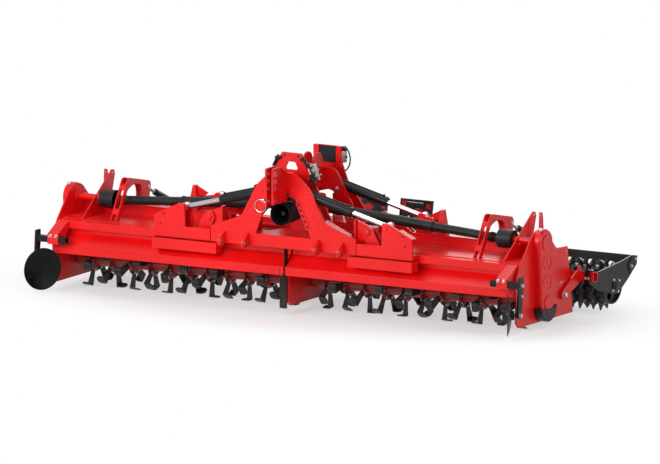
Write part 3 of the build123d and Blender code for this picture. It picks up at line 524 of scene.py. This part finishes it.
# Struts with black ends beside the mast's sloping edges: share of the length from and to, and radius
STRUT_BACK = 0.121
STRUT_TOP, STRUT_FOOT = (0.132, 1.510), (0.276, 1.240)
STRUT_ROD = (0.38, 0.64, 0.009)
STRUT_ENDS = ((0.0, 0.40, 0.013), (0.60, 1.0, 0.017))
STRUT_CLAMPS = (0.10, 0.80)
CLAMP_LOW, CLAMP_HIGH = Vector((-0.030, -0.010, -0.014)), Vector((0.030, 0.008, 0.014))
CLAMP_SHIFT = 0.008
rods, ends = bmesh.new(), bmesh.new()
for sign in SIGNS:
    top = at(sign * STRUT_TOP[0], STRUT_BACK, STRUT_TOP[1])
    reach = at(sign * STRUT_FOOT[0], STRUT_BACK, STRUT_FOOT[1]) - top
    first, last, radius = STRUT_ROD
    bar(rods, top + reach * first, top + reach * last, radius)
    for first, last, radius in STRUT_ENDS:
        bar(ends, top + reach * first, top + reach * last, radius)
    for share in STRUT_CLAMPS:
        middle = top + reach * share - Vector((CLAMP_SHIFT * sign, 0, 0))
        block(ends, middle + CLAMP_LOW, middle + CLAMP_HIGH, soft=0.003)
piece("mast_strut_rods", rods, CHROME, "centre_frame")
piece("mast_strut_ends", ends, BLACK, "centre_frame")

# Oil couplings on a bracket at the mast's left edge
BRACKET_FRONT, BRACKET_T = 0.159, 0.010
BRACKET = ((0.150, 1.452), (0.255, 1.440), (0.300, 1.300), (0.222, 1.300))
COUPLINGS_AT = ((0.205, 1.420), (0.232, 1.372), (0.262, 1.326))
COUPLING_REAR = ((0.016, 0), (0.018, 0.004), (0.018, 0.030), (0.013, 0.032), (0.013, 0.046),
                 (0.017, 0.048), (0.017, 0.070), (0.012, 0.074))
COUPLING_FRONT = ((0.018, 0), (0.018, 0.008), (0.013, 0.010), (0.013, 0.020), (0.009, 0.022))
bm = bmesh.new()
bevelled(bm, [at(x, BRACKET_FRONT, z) for x, z in BRACKET], (0, BRACKET_T, 0), soft=0.002)
piece("coupling_bracket", bm, ZINC, "centre_frame")
bm = bmesh.new()
for x, z in COUPLINGS_AT:
    turned(bm, at(x, BRACKET_FRONT + BRACKET_T, z), REAR, COUPLING_REAR, steps=20)
    turned(bm, at(x, BRACKET_FRONT, z), FRONT, COUPLING_FRONT, steps=6)
piece("oil_couplings", bm, GREASED, "centre_frame")

# Valve block on the rear tower's side, with the hose's elbow above it and its socket below
VALVE_LOW, VALVE_HIGH = (0.153, 0.822, 1.352), (0.196, 0.856, 1.462)
VALVE_BACK = 0.839
VALVE_BOLTS = (1.378, 1.432)
ELBOW_AT = (0.164, 0.868, 1.474)
ELBOW = ((0.008, 0), (0.008, 0.016), (0.012, 0.017), (0.012, 0.035), (0.007, 0.038))
ELBOW_BEND = ((0.164, 0.868, 1.508), (0.179, 0.868, 1.491))
SOCKET_AT = (0.160, TOWER_REAR, 1.257)
SOCKET = ((0.012, 0), (0.012, 0.016), (0.008, 0.019))
bm = bmesh.new()
block(bm, at(*VALVE_LOW), at(*VALVE_HIGH), soft=0.004)
for z in VALVE_BOLTS:
    hex_bolt(bm, at(VALVE_HIGH[0], VALVE_BACK, z), (1, 0, 0), width=0.014)
turned(bm, at(*ELBOW_AT), UP, ELBOW, steps=16)
bar(bm, at(*ELBOW_BEND[0]), at(*ELBOW_BEND[1]), radius=0.0085)
turned(bm, at(*SOCKET_AT), REAR, SOCKET, steps=16)
piece("valve_block", bm, ZINC, "centre_frame")

# Two coils and two plugs on the valve block
COILS_X = (0.163, 0.186)
COIL = ((0.010, 0), (0.014, 0.002), (0.014, 0.030), (0.011, 0.034), (0.006, 0.040))
PLUGS = (((0.196, 0.828, 1.395), (0.206, 0.850, 1.415), 0.002),
         ((0.154, 0.852, 1.452), (0.176, 0.878, 1.475), 0.003))
bm = bmesh.new()
for x in COILS_X:
    turned(bm, at(x, VALVE_BACK, VALVE_HIGH[2]), UP, COIL, steps=18)
for low, high, soft in PLUGS:
    block(bm, at(*low), at(*high), soft)
piece("valve_coils", bm, PLASTIC, "centre_frame")

# Pipes, ports, bands and glands on the fold cylinders, by their distance from the base pin
PORT_SPOTS = (0.085, 0.590)
PORT = ((0.014, 0), (0.014, 0.010), (0.011, 0.012), (0.011, 0.020), (0.008, 0.022))
PORT_SUNK = 0.003
PIPE_R = 0.0055
PIPE_RISE = BARREL_R + 0.005
BAND_IN = BARREL_R - 0.001
BANDS = ((BARREL_R + 0.003, BARREL_LEN - 0.045, BARREL_LEN - 0.012),
         (BARREL_R + 0.002, 0.220, 0.234), (BARREL_R + 0.002, 0.450, 0.464))
for name, sign in SIDES:
    pipes, ports = bmesh.new(), bmesh.new()
    for back in CYLINDER_BACKS:
        base = at(sign * BASE_PIN[0], back, BASE_PIN[1])
        line = (at(sign * WING_PIN[0], back, WING_PIN[1]) - base).normalized()
        over = (Vector(UP) - line * line.z).normalized()
        for spot in PORT_SPOTS:
            turned(ports, base + line * spot + over * (BARREL_R - PORT_SUNK), over, PORT, steps=12)
        start, end = (base + line * spot + over * PIPE_RISE for spot in PORT_SPOTS)
        bar(pipes, start, end, PIPE_R, steps=10)
        for radius, low, high in BANDS:
            ring_band(ports, base, line, BAND_IN, radius, low, high)
    piece("barrel_pipes_" + name, pipes, BLACK, "fold_barrels_" + name)
    piece("barrel_fittings_" + name, ports, BLACK, "fold_barrels_" + name)

# Guard rings at the PTO shaft
GUARD_RINGS = ((-0.080, 0.1045), (-0.010, 0.1030), (0.060, 0.1010), (0.130, 0.0995))
GUARD_RING_HALF = 0.004
bm = bmesh.new()
for back, radius in GUARD_RINGS:
    ring_band(bm, at(0, back, GEARBOX_Z), REAR, radius - GUARD_RING_HALF, radius + GUARD_RING_HALF,
              low=0.0, high=0.010, steps=48)
piece("guard_rings", bm, PLASTIC, "centre_frame")

# Collars on the telescopic drive shafts; the outer half's are measured from its far end
SHAFT_FROM = (0.229, GEARBOX_Z)
SHAFT_TO = (WING_OUTER - 0.475, INPUT_Z)
SLEEVE_SHARE = 0.63
SLEEVE_COLLAR = (0.090, 0.115)
SLEEVE_END_COLLAR = (0.026, 0.002)
OUTER_COLLARS = ((0.055, 0.038), (0.030, 0.018))
for name, sign in SIDES:
    near_end = at(sign * SHAFT_FROM[0], DRIVE_BACK, SHAFT_FROM[1])
    run = at(sign * SHAFT_TO[0], DRIVE_BACK, SHAFT_TO[1]) - near_end
    sleeve_end = SLEEVE_SHARE * run.length
    bm = bmesh.new()
    end_collar = [sleeve_end - inset for inset in SLEEVE_END_COLLAR]
    for low, high in (SLEEVE_COLLAR, end_collar):
        ring_band(bm, near_end, run, inner=0.047, outer=0.053, low=low, high=high)
    piece("shaft_collars_inner_" + name, bm, PLASTIC, "shaft_inner_" + name)
    bm = bmesh.new()
    for low, high in OUTER_COLLARS:
        ring_band(bm, near_end, run, inner=0.041, outer=0.049, low=run.length - low, high=run.length - high)
    piece("shaft_collars_outer_" + name, bm, PLASTIC, "shaft_outer_" + name)

# Wing: gearcase rings, breather and shoe, disc bracket bolts, pins of the arch and the cylinder tower
CASE_MID = 0.467
CASE_RINGS = (0.661, 0.470)
CASE_RING_X = CASE_FACE - 0.009
RING_HUB = ((0.018, 0), (0.018, 0.003), (0.014, 0.005))
BREATHER_AT = (2.585, 0.395, 0.964)
BREATHER = ((0.012, 0), (0.012, 0.012), (0.020, 0.012), (0.020, 0.020), (0.016, 0.030), (0.010, 0.034))
BRACKET_BOLTS_X = (2.425, 2.487)
BRACKET_BOLTS_AT = (-0.136, 0.556)
POST_BOLTS = ((-0.094, 0.521, 0.030), (-0.094, 0.420, 0.022), (-0.1255, 0.239, 0.034))
SIDE_BOLTS = ((0.826, 0.403), (0.850, 0.408), (0.940, 0.690))
SHOE_R = 0.152
SHOE_MID = (ROTOR_BACK - 0.010, 0.240)
SHOE_X, SHOE_W = CASE_FACE - 0.080, 0.088
SHOE_TURNS = range(182, 359, 16)
SHOE_INSIDE = ((ROTOR_BACK + 0.060, 0.205), (ROTOR_BACK - 0.080, 0.205))
for name, sign in SIDES:
    out = (sign, 0, 0)
    wing = "wing_" + name
    bm = bmesh.new()
    for z in CASE_RINGS:
        middle = at(sign * CASE_RING_X, CASE_MID, z)
        ring_band(bm, middle, out, inner=0.064, outer=0.076, low=0.0, high=0.005, steps=48)
        turned(bm, middle, out, RING_HUB, steps=24)
    pin_head(bm, at(sign * WING_PIN[0], PLATE_FRONT, WING_PIN[1]), FRONT, radius=0.024, height=0.008)
    piece("case_rings_" + name, bm, RED, wing)
    bm = bmesh.new()
    turned(bm, at(sign * BREATHER_AT[0], *BREATHER_AT[1:]), UP, BREATHER, steps=16)
    for x in BRACKET_BOLTS_X:
        hex_bolt(bm, at(sign * x, *BRACKET_BOLTS_AT), FRONT, width=0.026)
    for back, z, width in POST_BOLTS:
        hex_bolt(bm, at(sign * POST_FACE, back, z), out, width)
    for back, z in SIDE_BOLTS:
        hex_bolt(bm, at(sign * SIDE_FACE, back, z), out, width=0.014)
    for facing in (-1, 1):
        place = at(sign * LINK_X + facing * LINK_OUT, *LINK_EYE)
        pin_head(bm, place, (facing, 0, 0), radius=0.015, height=0.010)
    piece("wing_bolts_" + name, bm, ZINC, wing)
    bm = bmesh.new()
    bottom = [(SHOE_MID[0] + SHOE_R * cos(radians(turn)), SHOE_MID[1] + SHOE_R * sin(radians(turn)))
              for turn in SHOE_TURNS]
    outline = [at(sign * SHOE_X, back, z) for back, z in (*bottom, *SHOE_INSIDE)]
    bevelled(bm, outline, (sign * SHOE_W, 0, 0), soft=0.005)
    piece("case_shoe_" + name, bm, BLACK, wing)

# Wing: cap on the front tower's slope, and the web between the rear cylinder's cheek and the rest post
SLOPE_TOP, SLOPE_FOOT = Vector((1.150, 0.973)), Vector((1.415, 0.846))
CAP_FROM = 0.42
CAP_T = 0.010
CAP_FRONT, CAP_DEPTH = -0.002, 0.064
WEB_FRONT, WEB_T = 0.666, 0.014
POST_WEB = ((1.218, 0.962), (1.338, 1.022), (1.352, 1.022), (1.340, 0.905), (1.290, 0.905))
CHEEK_WEB = ((1.140, 0.792), (1.140, 0.948), (1.165, 0.946), (1.330, 0.922), (1.330, 0.792))
for name, sign in SIDES:
    bm = bmesh.new()
    high = SLOPE_TOP.lerp(SLOPE_FOOT, CAP_FROM)
    down = Vector((SLOPE_FOOT.y - high.y, high.x - SLOPE_FOOT.x)).normalized() * CAP_T
    cap = (high, SLOPE_FOOT, SLOPE_FOOT + down, high + down)
    bevelled(bm, [at(sign * x, CAP_FRONT, z) for x, z in cap], (0, CAP_DEPTH, 0), soft=0.0015)
    for web in (POST_WEB, CHEEK_WEB):
        bevelled(bm, [at(sign * x, WEB_FRONT, z) for x, z in web], (0, WEB_T, 0), soft=0.002)
    piece("tower_webs_" + name, bm, RED, "wing_" + name)

# Wing: folded hem along the hood's lip, and gussets that round the arch's opening
HEM_LOW, HEM_HIGH = LIP_LOW + 0.0005, 0.438
HEM_PROUD, HEM_SUNK = 0.005, 0.001
HEM_ENDS = (HOOD_IN + 0.002, WING_OUTER - 0.002)
ARCH_FOOT = 0.690
ARCH_IN, ARCH_T = LINK_OUT - 0.0115, 0.011
FRONT_GUSSET = (((0.510, 1.017), (0.438, 1.007)), ((0.393, 0.946), (0.455, 0.990), (0.562, 1.005)))
REAR_GUSSET = (((0.680, ARCH_FOOT), (0.727, ARCH_FOOT), (0.752, 0.962)),
               ((0.640, 0.987), (0.688, 0.965), (0.692, 0.880)))
CURVE_STEPS = 8


def curve(start, pull, end):
    """Points along a curve that leaves start and reaches end, drawn towards pull."""
    start, pull, end = Vector(start), Vector(pull), Vector(end)
    shares = [k / CURVE_STEPS for k in range(CURVE_STEPS + 1)]
    return [start.lerp(pull, share).lerp(pull.lerp(end, share), share) for share in shares]


for name, sign in SIDES:
    bm = bmesh.new()
    near, far = sorted(sign * end for end in HEM_ENDS)
    block(bm, at(near, -HEM_PROUD, HEM_LOW), at(far, HEM_SUNK, HEM_HIGH), soft=0.0022)
    piece("lip_hem_" + name, bm, RED, "wing_" + name)
    bm = bmesh.new()
    for facing in (-1, 1):
        x = sign * LINK_X + facing * ARCH_IN
        for corner, bend in (FRONT_GUSSET, REAR_GUSSET):
            outline = [*corner, *curve(*bend)]
            bevelled(bm, [at(x, back, z) for back, z in outline], (facing * ARCH_T, 0, 0), soft=0.001)
    piece("arch_gussets_" + name, bm, RED, "wing_" + name)

# Rotor: two bolts through each blade's root
FLANGES, BLADES = 11, 6
FLANGE_FIRST = 0.2275
FLANGE_PITCH = (WING_OUTER - 0.1925 - FLANGE_FIRST) / (FLANGES - 1)
FIRST_TURN = -90 + degrees(asin(0.028 / ROTOR_Z))
BLADE_TURN = 360 / BLADES
FLANGE_TURN = 300 / FLANGES
ROOT_BOLT_R = 0.108
ROOT_BOLT_SHIFTS = (-0.015, 0.015)
HEAD_FACE, NUT_FACE = 0.016, 0.006


def blade_spots(sign):
    """For each blade: its flange's middle, its hand, and the outward and sideways directions."""
    for flange in range(FLANGES):
        middle = at(sign * (FLANGE_FIRST + FLANGE_PITCH * flange), ROTOR_BACK, ROTOR_Z)
        for blade in range(BLADES):
            turn = radians(FIRST_TURN + BLADE_TURN * blade + FLANGE_TURN * flange)
            hand = sign if blade % 2 else -sign
            yield middle, hand, Vector((0, cos(turn), sin(turn))), Vector((0, -sin(turn), cos(turn)))


for name, sign in SIDES:
    bm = bmesh.new()
    for middle, hand, outward, sideways in blade_spots(sign):
        for shift in ROOT_BOLT_SHIFTS:
            spot = middle + outward * ROOT_BOLT_R + sideways * shift
            hex_bolt(bm, spot + Vector((hand * HEAD_FACE, 0, 0)), (hand, 0, 0), width=0.019)
            hex_bolt(bm, spot - Vector((hand * NUT_FACE, 0, 0)), (-hand, 0, 0), width=0.017)
    piece("blade_bolts_" + name, bm, ZINC, "rotor_" + name)

# Rotor: broad L-shaped faces over the blades, wide at the curved foot
TIP_R = ROTOR_Z - 0.0001
FOOT_T = 0.0125
FOOT_HALF = 0.047
FOOT_REACH = 0.0868
FOOT_STEPS = 6
CORNER_FROM, CORNER_CUT = 0.030, 0.030
LEG_NEAR, LEG_FAR = 0.0054, 0.0166
LEG_RIM = TIP_R - 0.006
LEG_OUTLINE = ((0.090, 0.030), (0.150, 0.033), (0.205, 0.040), (0.240, 0.046))


def arc(radius, sides):
    """Points on a circle about the rotor's axis, as (sideways, outward)."""
    return [(side, sqrt(radius ** 2 - side ** 2)) for side in sides]


def blade_face(bm, middle, hand, outward, sideways):
    """Leg plate along the flange and a curved foot that turns away from it."""
    along = Vector((hand, 0, 0))

    def spot(x, side, radius):
        return middle + along * x + sideways * side + outward * radius

    leg = [(half, radius) for radius, half in LEG_OUTLINE] + arc(LEG_RIM, (FOOT_HALF, 0.0, -FOOT_HALF))
    leg += [(-half, radius) for radius, half in reversed(LEG_OUTLINE)]
    bevelled(bm, [spot(LEG_NEAR, *point) for point in leg], along * (LEG_FAR - LEG_NEAR), soft=0.0012)
    sides = [FOOT_HALF * (2 * k / FOOT_STEPS - 1) for k in range(FOOT_STEPS + 1)]
    loop = arc(TIP_R, sides) + arc(TIP_R - FOOT_T, sides[::-1])
    near = [bm.verts.new(spot(LEG_NEAR, *point)) for point in loop]
    far = []
    for side, radius in loop:
        cut = CORNER_CUT * max(0.0, abs(side) - CORNER_FROM) / (FOOT_HALF - CORNER_FROM)
        far.append(bm.verts.new(spot(FOOT_REACH - cut, side, radius)))
    walls(bm, near, far)
    for ring in (near, far):
        for k in range(FOOT_STEPS):
            bm.faces.new((ring[k], ring[k + 1], ring[-k - 2], ring[-k - 1]))


for name, sign in SIDES:
    bm = bmesh.new()
    for blade_spot in blade_spots(sign):
        blade_face(bm, *blade_spot)
    piece("blade_faces_" + name, bm, BLADE_PAINT, "rotor_" + name)

# Roller frame: scraper bolts, end bearings, beam plates, tube clamps and pivot bolts
ARM_OUT = WING_OUTER + 0.042
RING_PITCH = 0.113
ROLLER_SPAN = (0.045, END_OUT - 0.028)
RING_COUNT = int((ROLLER_SPAN[1] - ROLLER_SPAN[0]) / RING_PITCH)
RING_FIRST = (ROLLER_SPAN[0] + ROLLER_SPAN[1] - RING_PITCH * (RING_COUNT - 1)) / 2
SCRAPER = Vector((BEAM_AT[0] + 0.014 - ROLLER_AT[0], BEAM_AT[1] - ROLLER_AT[1])).normalized()
SCRAPER_BOLT = (BEAM_AT[0] - 0.036, BEAM_AT[1] - 0.024)
FRAME_UP = carried(0, 0, 1) - carried(0, 0, 0)
FRAME_FRONT = carried(0, -1, 0) - carried(0, 0, 0)
SCRAPER_FACE = FRAME_FRONT * SCRAPER.y + FRAME_UP * SCRAPER.x
BEARING_BOLTS_R = 0.072
BEARING_TURNS = (45, 135, 225, 315)
BEARING_CAP = ((0.040, 0), (0.040, 0.014), (0.030, 0.020))
BEAM_PLATE = ((1.030, 0.330), (1.100, 0.432), (1.190, 0.432), (1.190, 0.350), (1.090, 0.250))
BEAM_PLATE_T = 0.008
BEAM_BOLTS = ((1.085, 0.330), (1.150, 0.400))
CLAMP_IN, CLAMP_OUT, CLAMP_W = 0.046, 0.058, 0.058
CLAMP_X = END_OUT + 0.008
CLAMP_BOLTS_X = (END_OUT + 0.022, END_OUT + 0.052)
CLAMP_BARS = ((-CLAMP_OUT, -CLAMP_OUT, CLAMP_OUT, -CLAMP_IN), (-CLAMP_OUT, CLAMP_IN, CLAMP_OUT, CLAMP_OUT),
              (-CLAMP_OUT, -CLAMP_OUT, -CLAMP_IN, CLAMP_OUT), (CLAMP_IN, -CLAMP_OUT, CLAMP_OUT, CLAMP_OUT))
CLAMP_BOLTS = ((0, CLAMP_OUT), (-CLAMP_OUT, -0.020))
TUBE_LUG = ((-0.045, 0.044), (-0.030, 0.086), (-0.010, 0.100), (0.014, 0.098), (0.040, 0.044))
TUBE_LUG_X, TUBE_LUG_T = 2.556, 0.014


def on_tube(x, corners):
    """Points about the cross tube's middle."""
    return [carried(x, CROSS_TUBE[0] + u, CROSS_TUBE[1] + v) for u, v in corners]


for name, sign in SIDES:
    out = (sign, 0, 0)
    body = "roller_frame_" + name
    bm = bmesh.new()
    for gap in range(RING_COUNT - 1):
        x = sign * (RING_FIRST + RING_PITCH * (gap + 0.5))
        hex_bolt(bm, carried(x, *SCRAPER_BOLT), SCRAPER_FACE, width=0.020)
    for turn in BEARING_TURNS:
        u = ROLLER_AT[0] + BEARING_BOLTS_R * cos(radians(turn))
        v = ROLLER_AT[1] + BEARING_BOLTS_R * sin(radians(turn))
        hex_bolt(bm, carried(sign * END_OUT, u, v), out, width=0.022)
    for u, v in BEAM_BOLTS:
        hex_bolt(bm, carried(sign * (END_OUT + BEAM_PLATE_T), u, v), out, width=0.022)
    hex_bolt(bm, carried(sign * ARM_OUT, 0, 0), out, width=0.044)
    for x in CLAMP_BOLTS_X:
        above, ahead = on_tube(sign * x, CLAMP_BOLTS)
        hex_bolt(bm, above, FRAME_UP, width=0.020)
        hex_bolt(bm, ahead, FRAME_FRONT, width=0.020)
    piece("roller_frame_bolts_" + name, bm, ZINC, body)
    bm = bmesh.new()
    bearing = carried(sign * END_OUT, *ROLLER_AT)
    ring_band(bm, bearing, out, inner=0.034, outer=0.056, low=0.0, high=0.012)
    turned(bm, carried(sign * (END_OUT + 0.001), *ROLLER_AT), out, BEARING_CAP, steps=28)
    plate = [carried(sign * END_OUT, u, v) for u, v in BEAM_PLATE]
    bevelled(bm, plate, (sign * BEAM_PLATE_T, 0, 0), soft=0.002)
    for low_u, low_v, high_u, high_v in CLAMP_BARS:
        corners = ((low_u, low_v), (high_u, low_v), (high_u, high_v), (low_u, high_v))
        bevelled(bm, on_tube(sign * CLAMP_X, corners), (sign * CLAMP_W, 0, 0), soft=0.003)
    piece("roller_frame_clamps_" + name, bm, BLACK, body)
    bm = bmesh.new()
    bevelled(bm, on_tube(sign * TUBE_LUG_X, TUBE_LUG), (sign * TUBE_LUG_T, 0, 0), soft=0.002)
    piece("tube_lug_" + name, bm, RED, body)

# Light boards: frame, braces, red panels and lamp backs on the front side, in shares of the board
BOARD_IN, BOARD_W = 0.072, 0.350
BOARD_LOW, BOARD_H = 0.460, 0.294
BOARD_FACE = BEAM_AT[0] - 0.018
RED_PANELS = (((0.04, 0.96), (0.19, 0.96), (0.19, 0.70), (0.12, 0.60), (0.04, 0.60)),
              ((0.80, 0.88), (0.96, 0.88), (0.96, 0.70), (0.84, 0.70)),
              ((0.40, 0.64), (0.52, 0.73), (0.72, 0.68), (0.66, 0.50), (0.50, 0.48)),
              ((0.22, 0.26), (0.94, 0.26), (0.94, 0.14), (0.22, 0.14)))
BRACES = (((0.05, 0.18), (0.11, 0.18), (0.50, 0.84), (0.44, 0.84)),
          ((0.55, 0.40), (0.60, 0.36), (0.93, 0.68), (0.89, 0.72)),
          ((0.20, 0.92), (0.76, 0.92), (0.76, 0.80), (0.20, 0.80)))
FRAME_BARS = (((0.0, 0.0), (1.0, 0.0), (1.0, 0.05), (0.0, 0.05)),
              ((0.0, 0.96), (1.0, 0.96), (1.0, 1.0), (0.0, 1.0)),
              ((0.0, 0.0), (0.035, 0.0), (0.035, 1.0), (0.0, 1.0)),
              ((0.965, 0.0), (1.0, 0.0), (1.0, 1.0), (0.965, 1.0)))
BOARD_LAYERS = (("board_panels_", RED_PANELS, 0.004, LENS, "red_paint"),
                ("board_braces_", BRACES, 0.012, BLACK, "black_paint"),
                ("board_frame_", FRAME_BARS, 0.009, PLASTIC, "black_plastic"))
LAMP_BACK = ((0.62, 0.44), (0.86, 0.46), (0.84, 0.31), (0.66, 0.31))
LAMP_BACK_T = 0.010
BOARD_BAR = ((0.23, 0.90, 0.013), (0.73, 0.90, 0.013))
BOARD_STUDS = ((0.30, 0.42), (0.50, 0.38), (0.86, 0.62), (0.42, 0.22), (0.78, 0.22))


def on_board(sign, share_x, share_z, proud=0.0):
    """A point on a light board's front, or proud of it."""
    x = sign * (BOARD_IN + share_x * BOARD_W)
    return carried(x, BOARD_FACE - proud, BOARD_LOW + share_z * BOARD_H)


for name, sign in SIDES:
    body = "roller_frame_" + name
    for label, shapes, depth, material, slot in BOARD_LAYERS:
        bm = bmesh.new()
        for shape in shapes:
            bevelled(bm, [on_board(sign, *corner) for corner in shape], FRAME_FRONT * depth, soft=0.0012)
        piece(label + name, bm, material, body)
    bm = bmesh.new()
    bevelled(bm, [on_board(sign, *corner) for corner in LAMP_BACK], FRAME_FRONT * LAMP_BACK_T, soft=0.002)
    start, end = (on_board(sign, *place) for place in BOARD_BAR)
    bar(bm, start, end, radius=0.004)
    for stud in BOARD_STUDS:
        pin_head(bm, on_board(sign, *stud), FRAME_FRONT, radius=0.010, height=0.012)
    piece("board_fittings_" + name, bm, ZINC, body)

# Valve hose: out of the block's elbow, round the tower's edge and back to the plate
HOSE_D = 0.014
HOSE_ROUTE = ((0.176, 0.868, 1.494), (0.198, 0.868, 1.468), (0.217, 0.869, 1.428), (0.224, 0.870, 1.375),
              (0.214, 0.870, 1.322), (0.190, 0.870, 1.285), (0.166, 0.868, 1.262))
hose_curve = bpy.data.curves.new("valve_hose", "CURVE")
hose_curve.dimensions = "3D"
hose_curve.bevel_depth = HOSE_D / 2
hose_curve.bevel_resolution = 4
hose_curve.resolution_u = 16
hose_line = hose_curve.splines.new("NURBS")
hose_line.points.add(len(HOSE_ROUTE) - 1)
for point, place in zip(hose_line.points, HOSE_ROUTE):
    point.co = (*at(*place), 1)
hose_line.order_u = 3
hose_line.use_endpoint_u = True
hose_curve.materials.append(RUBBER)
hose = bpy.data.objects.new("valve_hose", hose_curve)
bpy.context.scene.collection.objects.link(hose)
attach(hose, "centre_frame")


# Stage
def seen_rays(tree):
    """Socket that is 1 for rays that show the background: straight, through glass or in a reflection."""
    paths = shader_node(tree, "LightPath").outputs
    sees = paths["Is Camera Ray"]
    for ray in ("Is Transmission Ray", "Is Glossy Ray"):
        sees = combined(tree, "MAXIMUM", sees, paths[ray])
    return sees


FLOOR_HALF = 40
FLOOR_TONES = ((0.3, (0.90, 0.90, 0.90)), (0.7, (0.94, 0.94, 0.94)))
FLOOR_ROUGHNESS = 0.8
FLOOR_DROP = 0.001
corners = [(x * FLOOR_HALF, y * FLOOR_HALF, 0) for x, y in ((-1, -1), (1, -1), (1, 1), (-1, 1))]
floor_mesh = bpy.data.meshes.new("floor")
floor_mesh.from_pydata(corners, [], [(0, 1, 2, 3)])
floor = bpy.data.objects.new("floor", floor_mesh)
floor.location.z = -FLOOR_DROP
bpy.context.scene.collection.objects.link(floor)
floor_material, tree, shader, place = new_material("floor")
link(tree, shader, {"Base Color": ramp(tree, noise(tree, place, scale=1.2), FLOOR_TONES)})
set_values(shader, {"Roughness": FLOOR_ROUGHNESS})

# The floor turns to plain white away from the machine, so only the shadow near it shows
FLOOR_OVAL = (3.1, 1.7)
OVAL_FADE = (0.75, 1.25)
NEAR_WHITE = 0.5
oval_scale = (1 / FLOOR_OVAL[0], 1 / FLOOR_OVAL[1], 0)
oval = shader_node(tree, "Mapping", {"Scale": oval_scale}, {"Vector": place}).outputs["Vector"]
distance = shader_node(tree, "VectorMath", sources={0: oval}, operation="LENGTH").outputs["Value"]
away = ranged(tree, distance, NEAR_WHITE, 1, *OVAL_FADE, smooth=True)
white = shader_node(tree, "Emission").outputs["Emission"]
shown = combined(tree, "MULTIPLY", away, seen_rays(tree))
blend = shader_node(tree, "MixShader", sources={"Fac": shown, 1: shader.outputs["BSDF"], 2: white})
link(tree, tree.nodes["Material Output"], {"Surface": blend.outputs["Shader"]})
floor_mesh.materials.append(floor_material)

# Light: a soft white world, which shows as plain white, and four lamps
WORLD_LIGHT = 0.24
LAMPS = (("key", (-2.5, -9.0, 4.4), (0, 0, 0.6), (6, 4), 620),
         ("top", (-1.0, 0.5, 7.0), (0, 0, 0.5), (7, 4), 140),
         ("side", (7.5, -2.5, 3.5), (1.0, 0, 0.6), (3, 3), 90),
         ("rear", (-1.0, 9.0, 4.5), (0, 0, 0.6), (6, 4), 260))
world = bpy.data.worlds.new("studio")
bpy.context.scene.world = world
world.use_nodes = True
tree = world.node_tree
background = tree.nodes["Background"]
set_values(background, {"Color": (1, 1, 1, 1)})
link(tree, background, {"Strength": ranged(tree, seen_rays(tree), WORLD_LIGHT, 1.0, first=0, last=1)})
for name, place, target, size, power in LAMPS:
    lamp = bpy.data.lights.new(name, "AREA")
    lamp.shape = "RECTANGLE"
    lamp.size, lamp.size_y = size
    lamp.energy = power
    obj = bpy.data.objects.new(name, lamp)
    obj.location = place
    obj.rotation_euler = (Vector(target) - Vector(place)).to_track_quat("-Z", "Y").to_euler()
    bpy.context.scene.collection.objects.link(obj)

# Camera: a parallel view at the photograph's angle and scale
AZIMUTH = radians(30)
ELEVATION = radians(10)
METRES_PER_PIXEL = 0.0095
PHOTO_SIZE = (660, 464)
LIP_PIXEL = (284.2, 275.6)
LIP_POINT = at(0, 0, LIP_LOW)
CAMERA_AWAY, CAMERA_CLIP = 14, 60
right = Vector((cos(AZIMUTH), sin(AZIMUTH), 0))
look = Vector((-sin(AZIMUTH) * cos(ELEVATION), cos(AZIMUTH) * cos(ELEVATION), -sin(ELEVATION)))
above = right.cross(look)
centre = (LIP_POINT + right * (PHOTO_SIZE[0] / 2 - LIP_PIXEL[0]) * METRES_PER_PIXEL
          + above * (LIP_PIXEL[1] - PHOTO_SIZE[1] / 2) * METRES_PER_PIXEL)
camera_data = bpy.data.cameras.new("camera")
camera_data.type = "ORTHO"
camera_data.ortho_scale = PHOTO_SIZE[0] * METRES_PER_PIXEL
camera_data.clip_end = CAMERA_CLIP
camera = bpy.data.objects.new("camera", camera_data)
camera.location = centre - look * CAMERA_AWAY
camera.rotation_euler = look.to_track_quat("-Z", "Y").to_euler()
bpy.context.scene.collection.objects.link(camera)
bpy.context.scene.camera = camera
bpy.context.scene.view_settings.view_transform = "Standard"
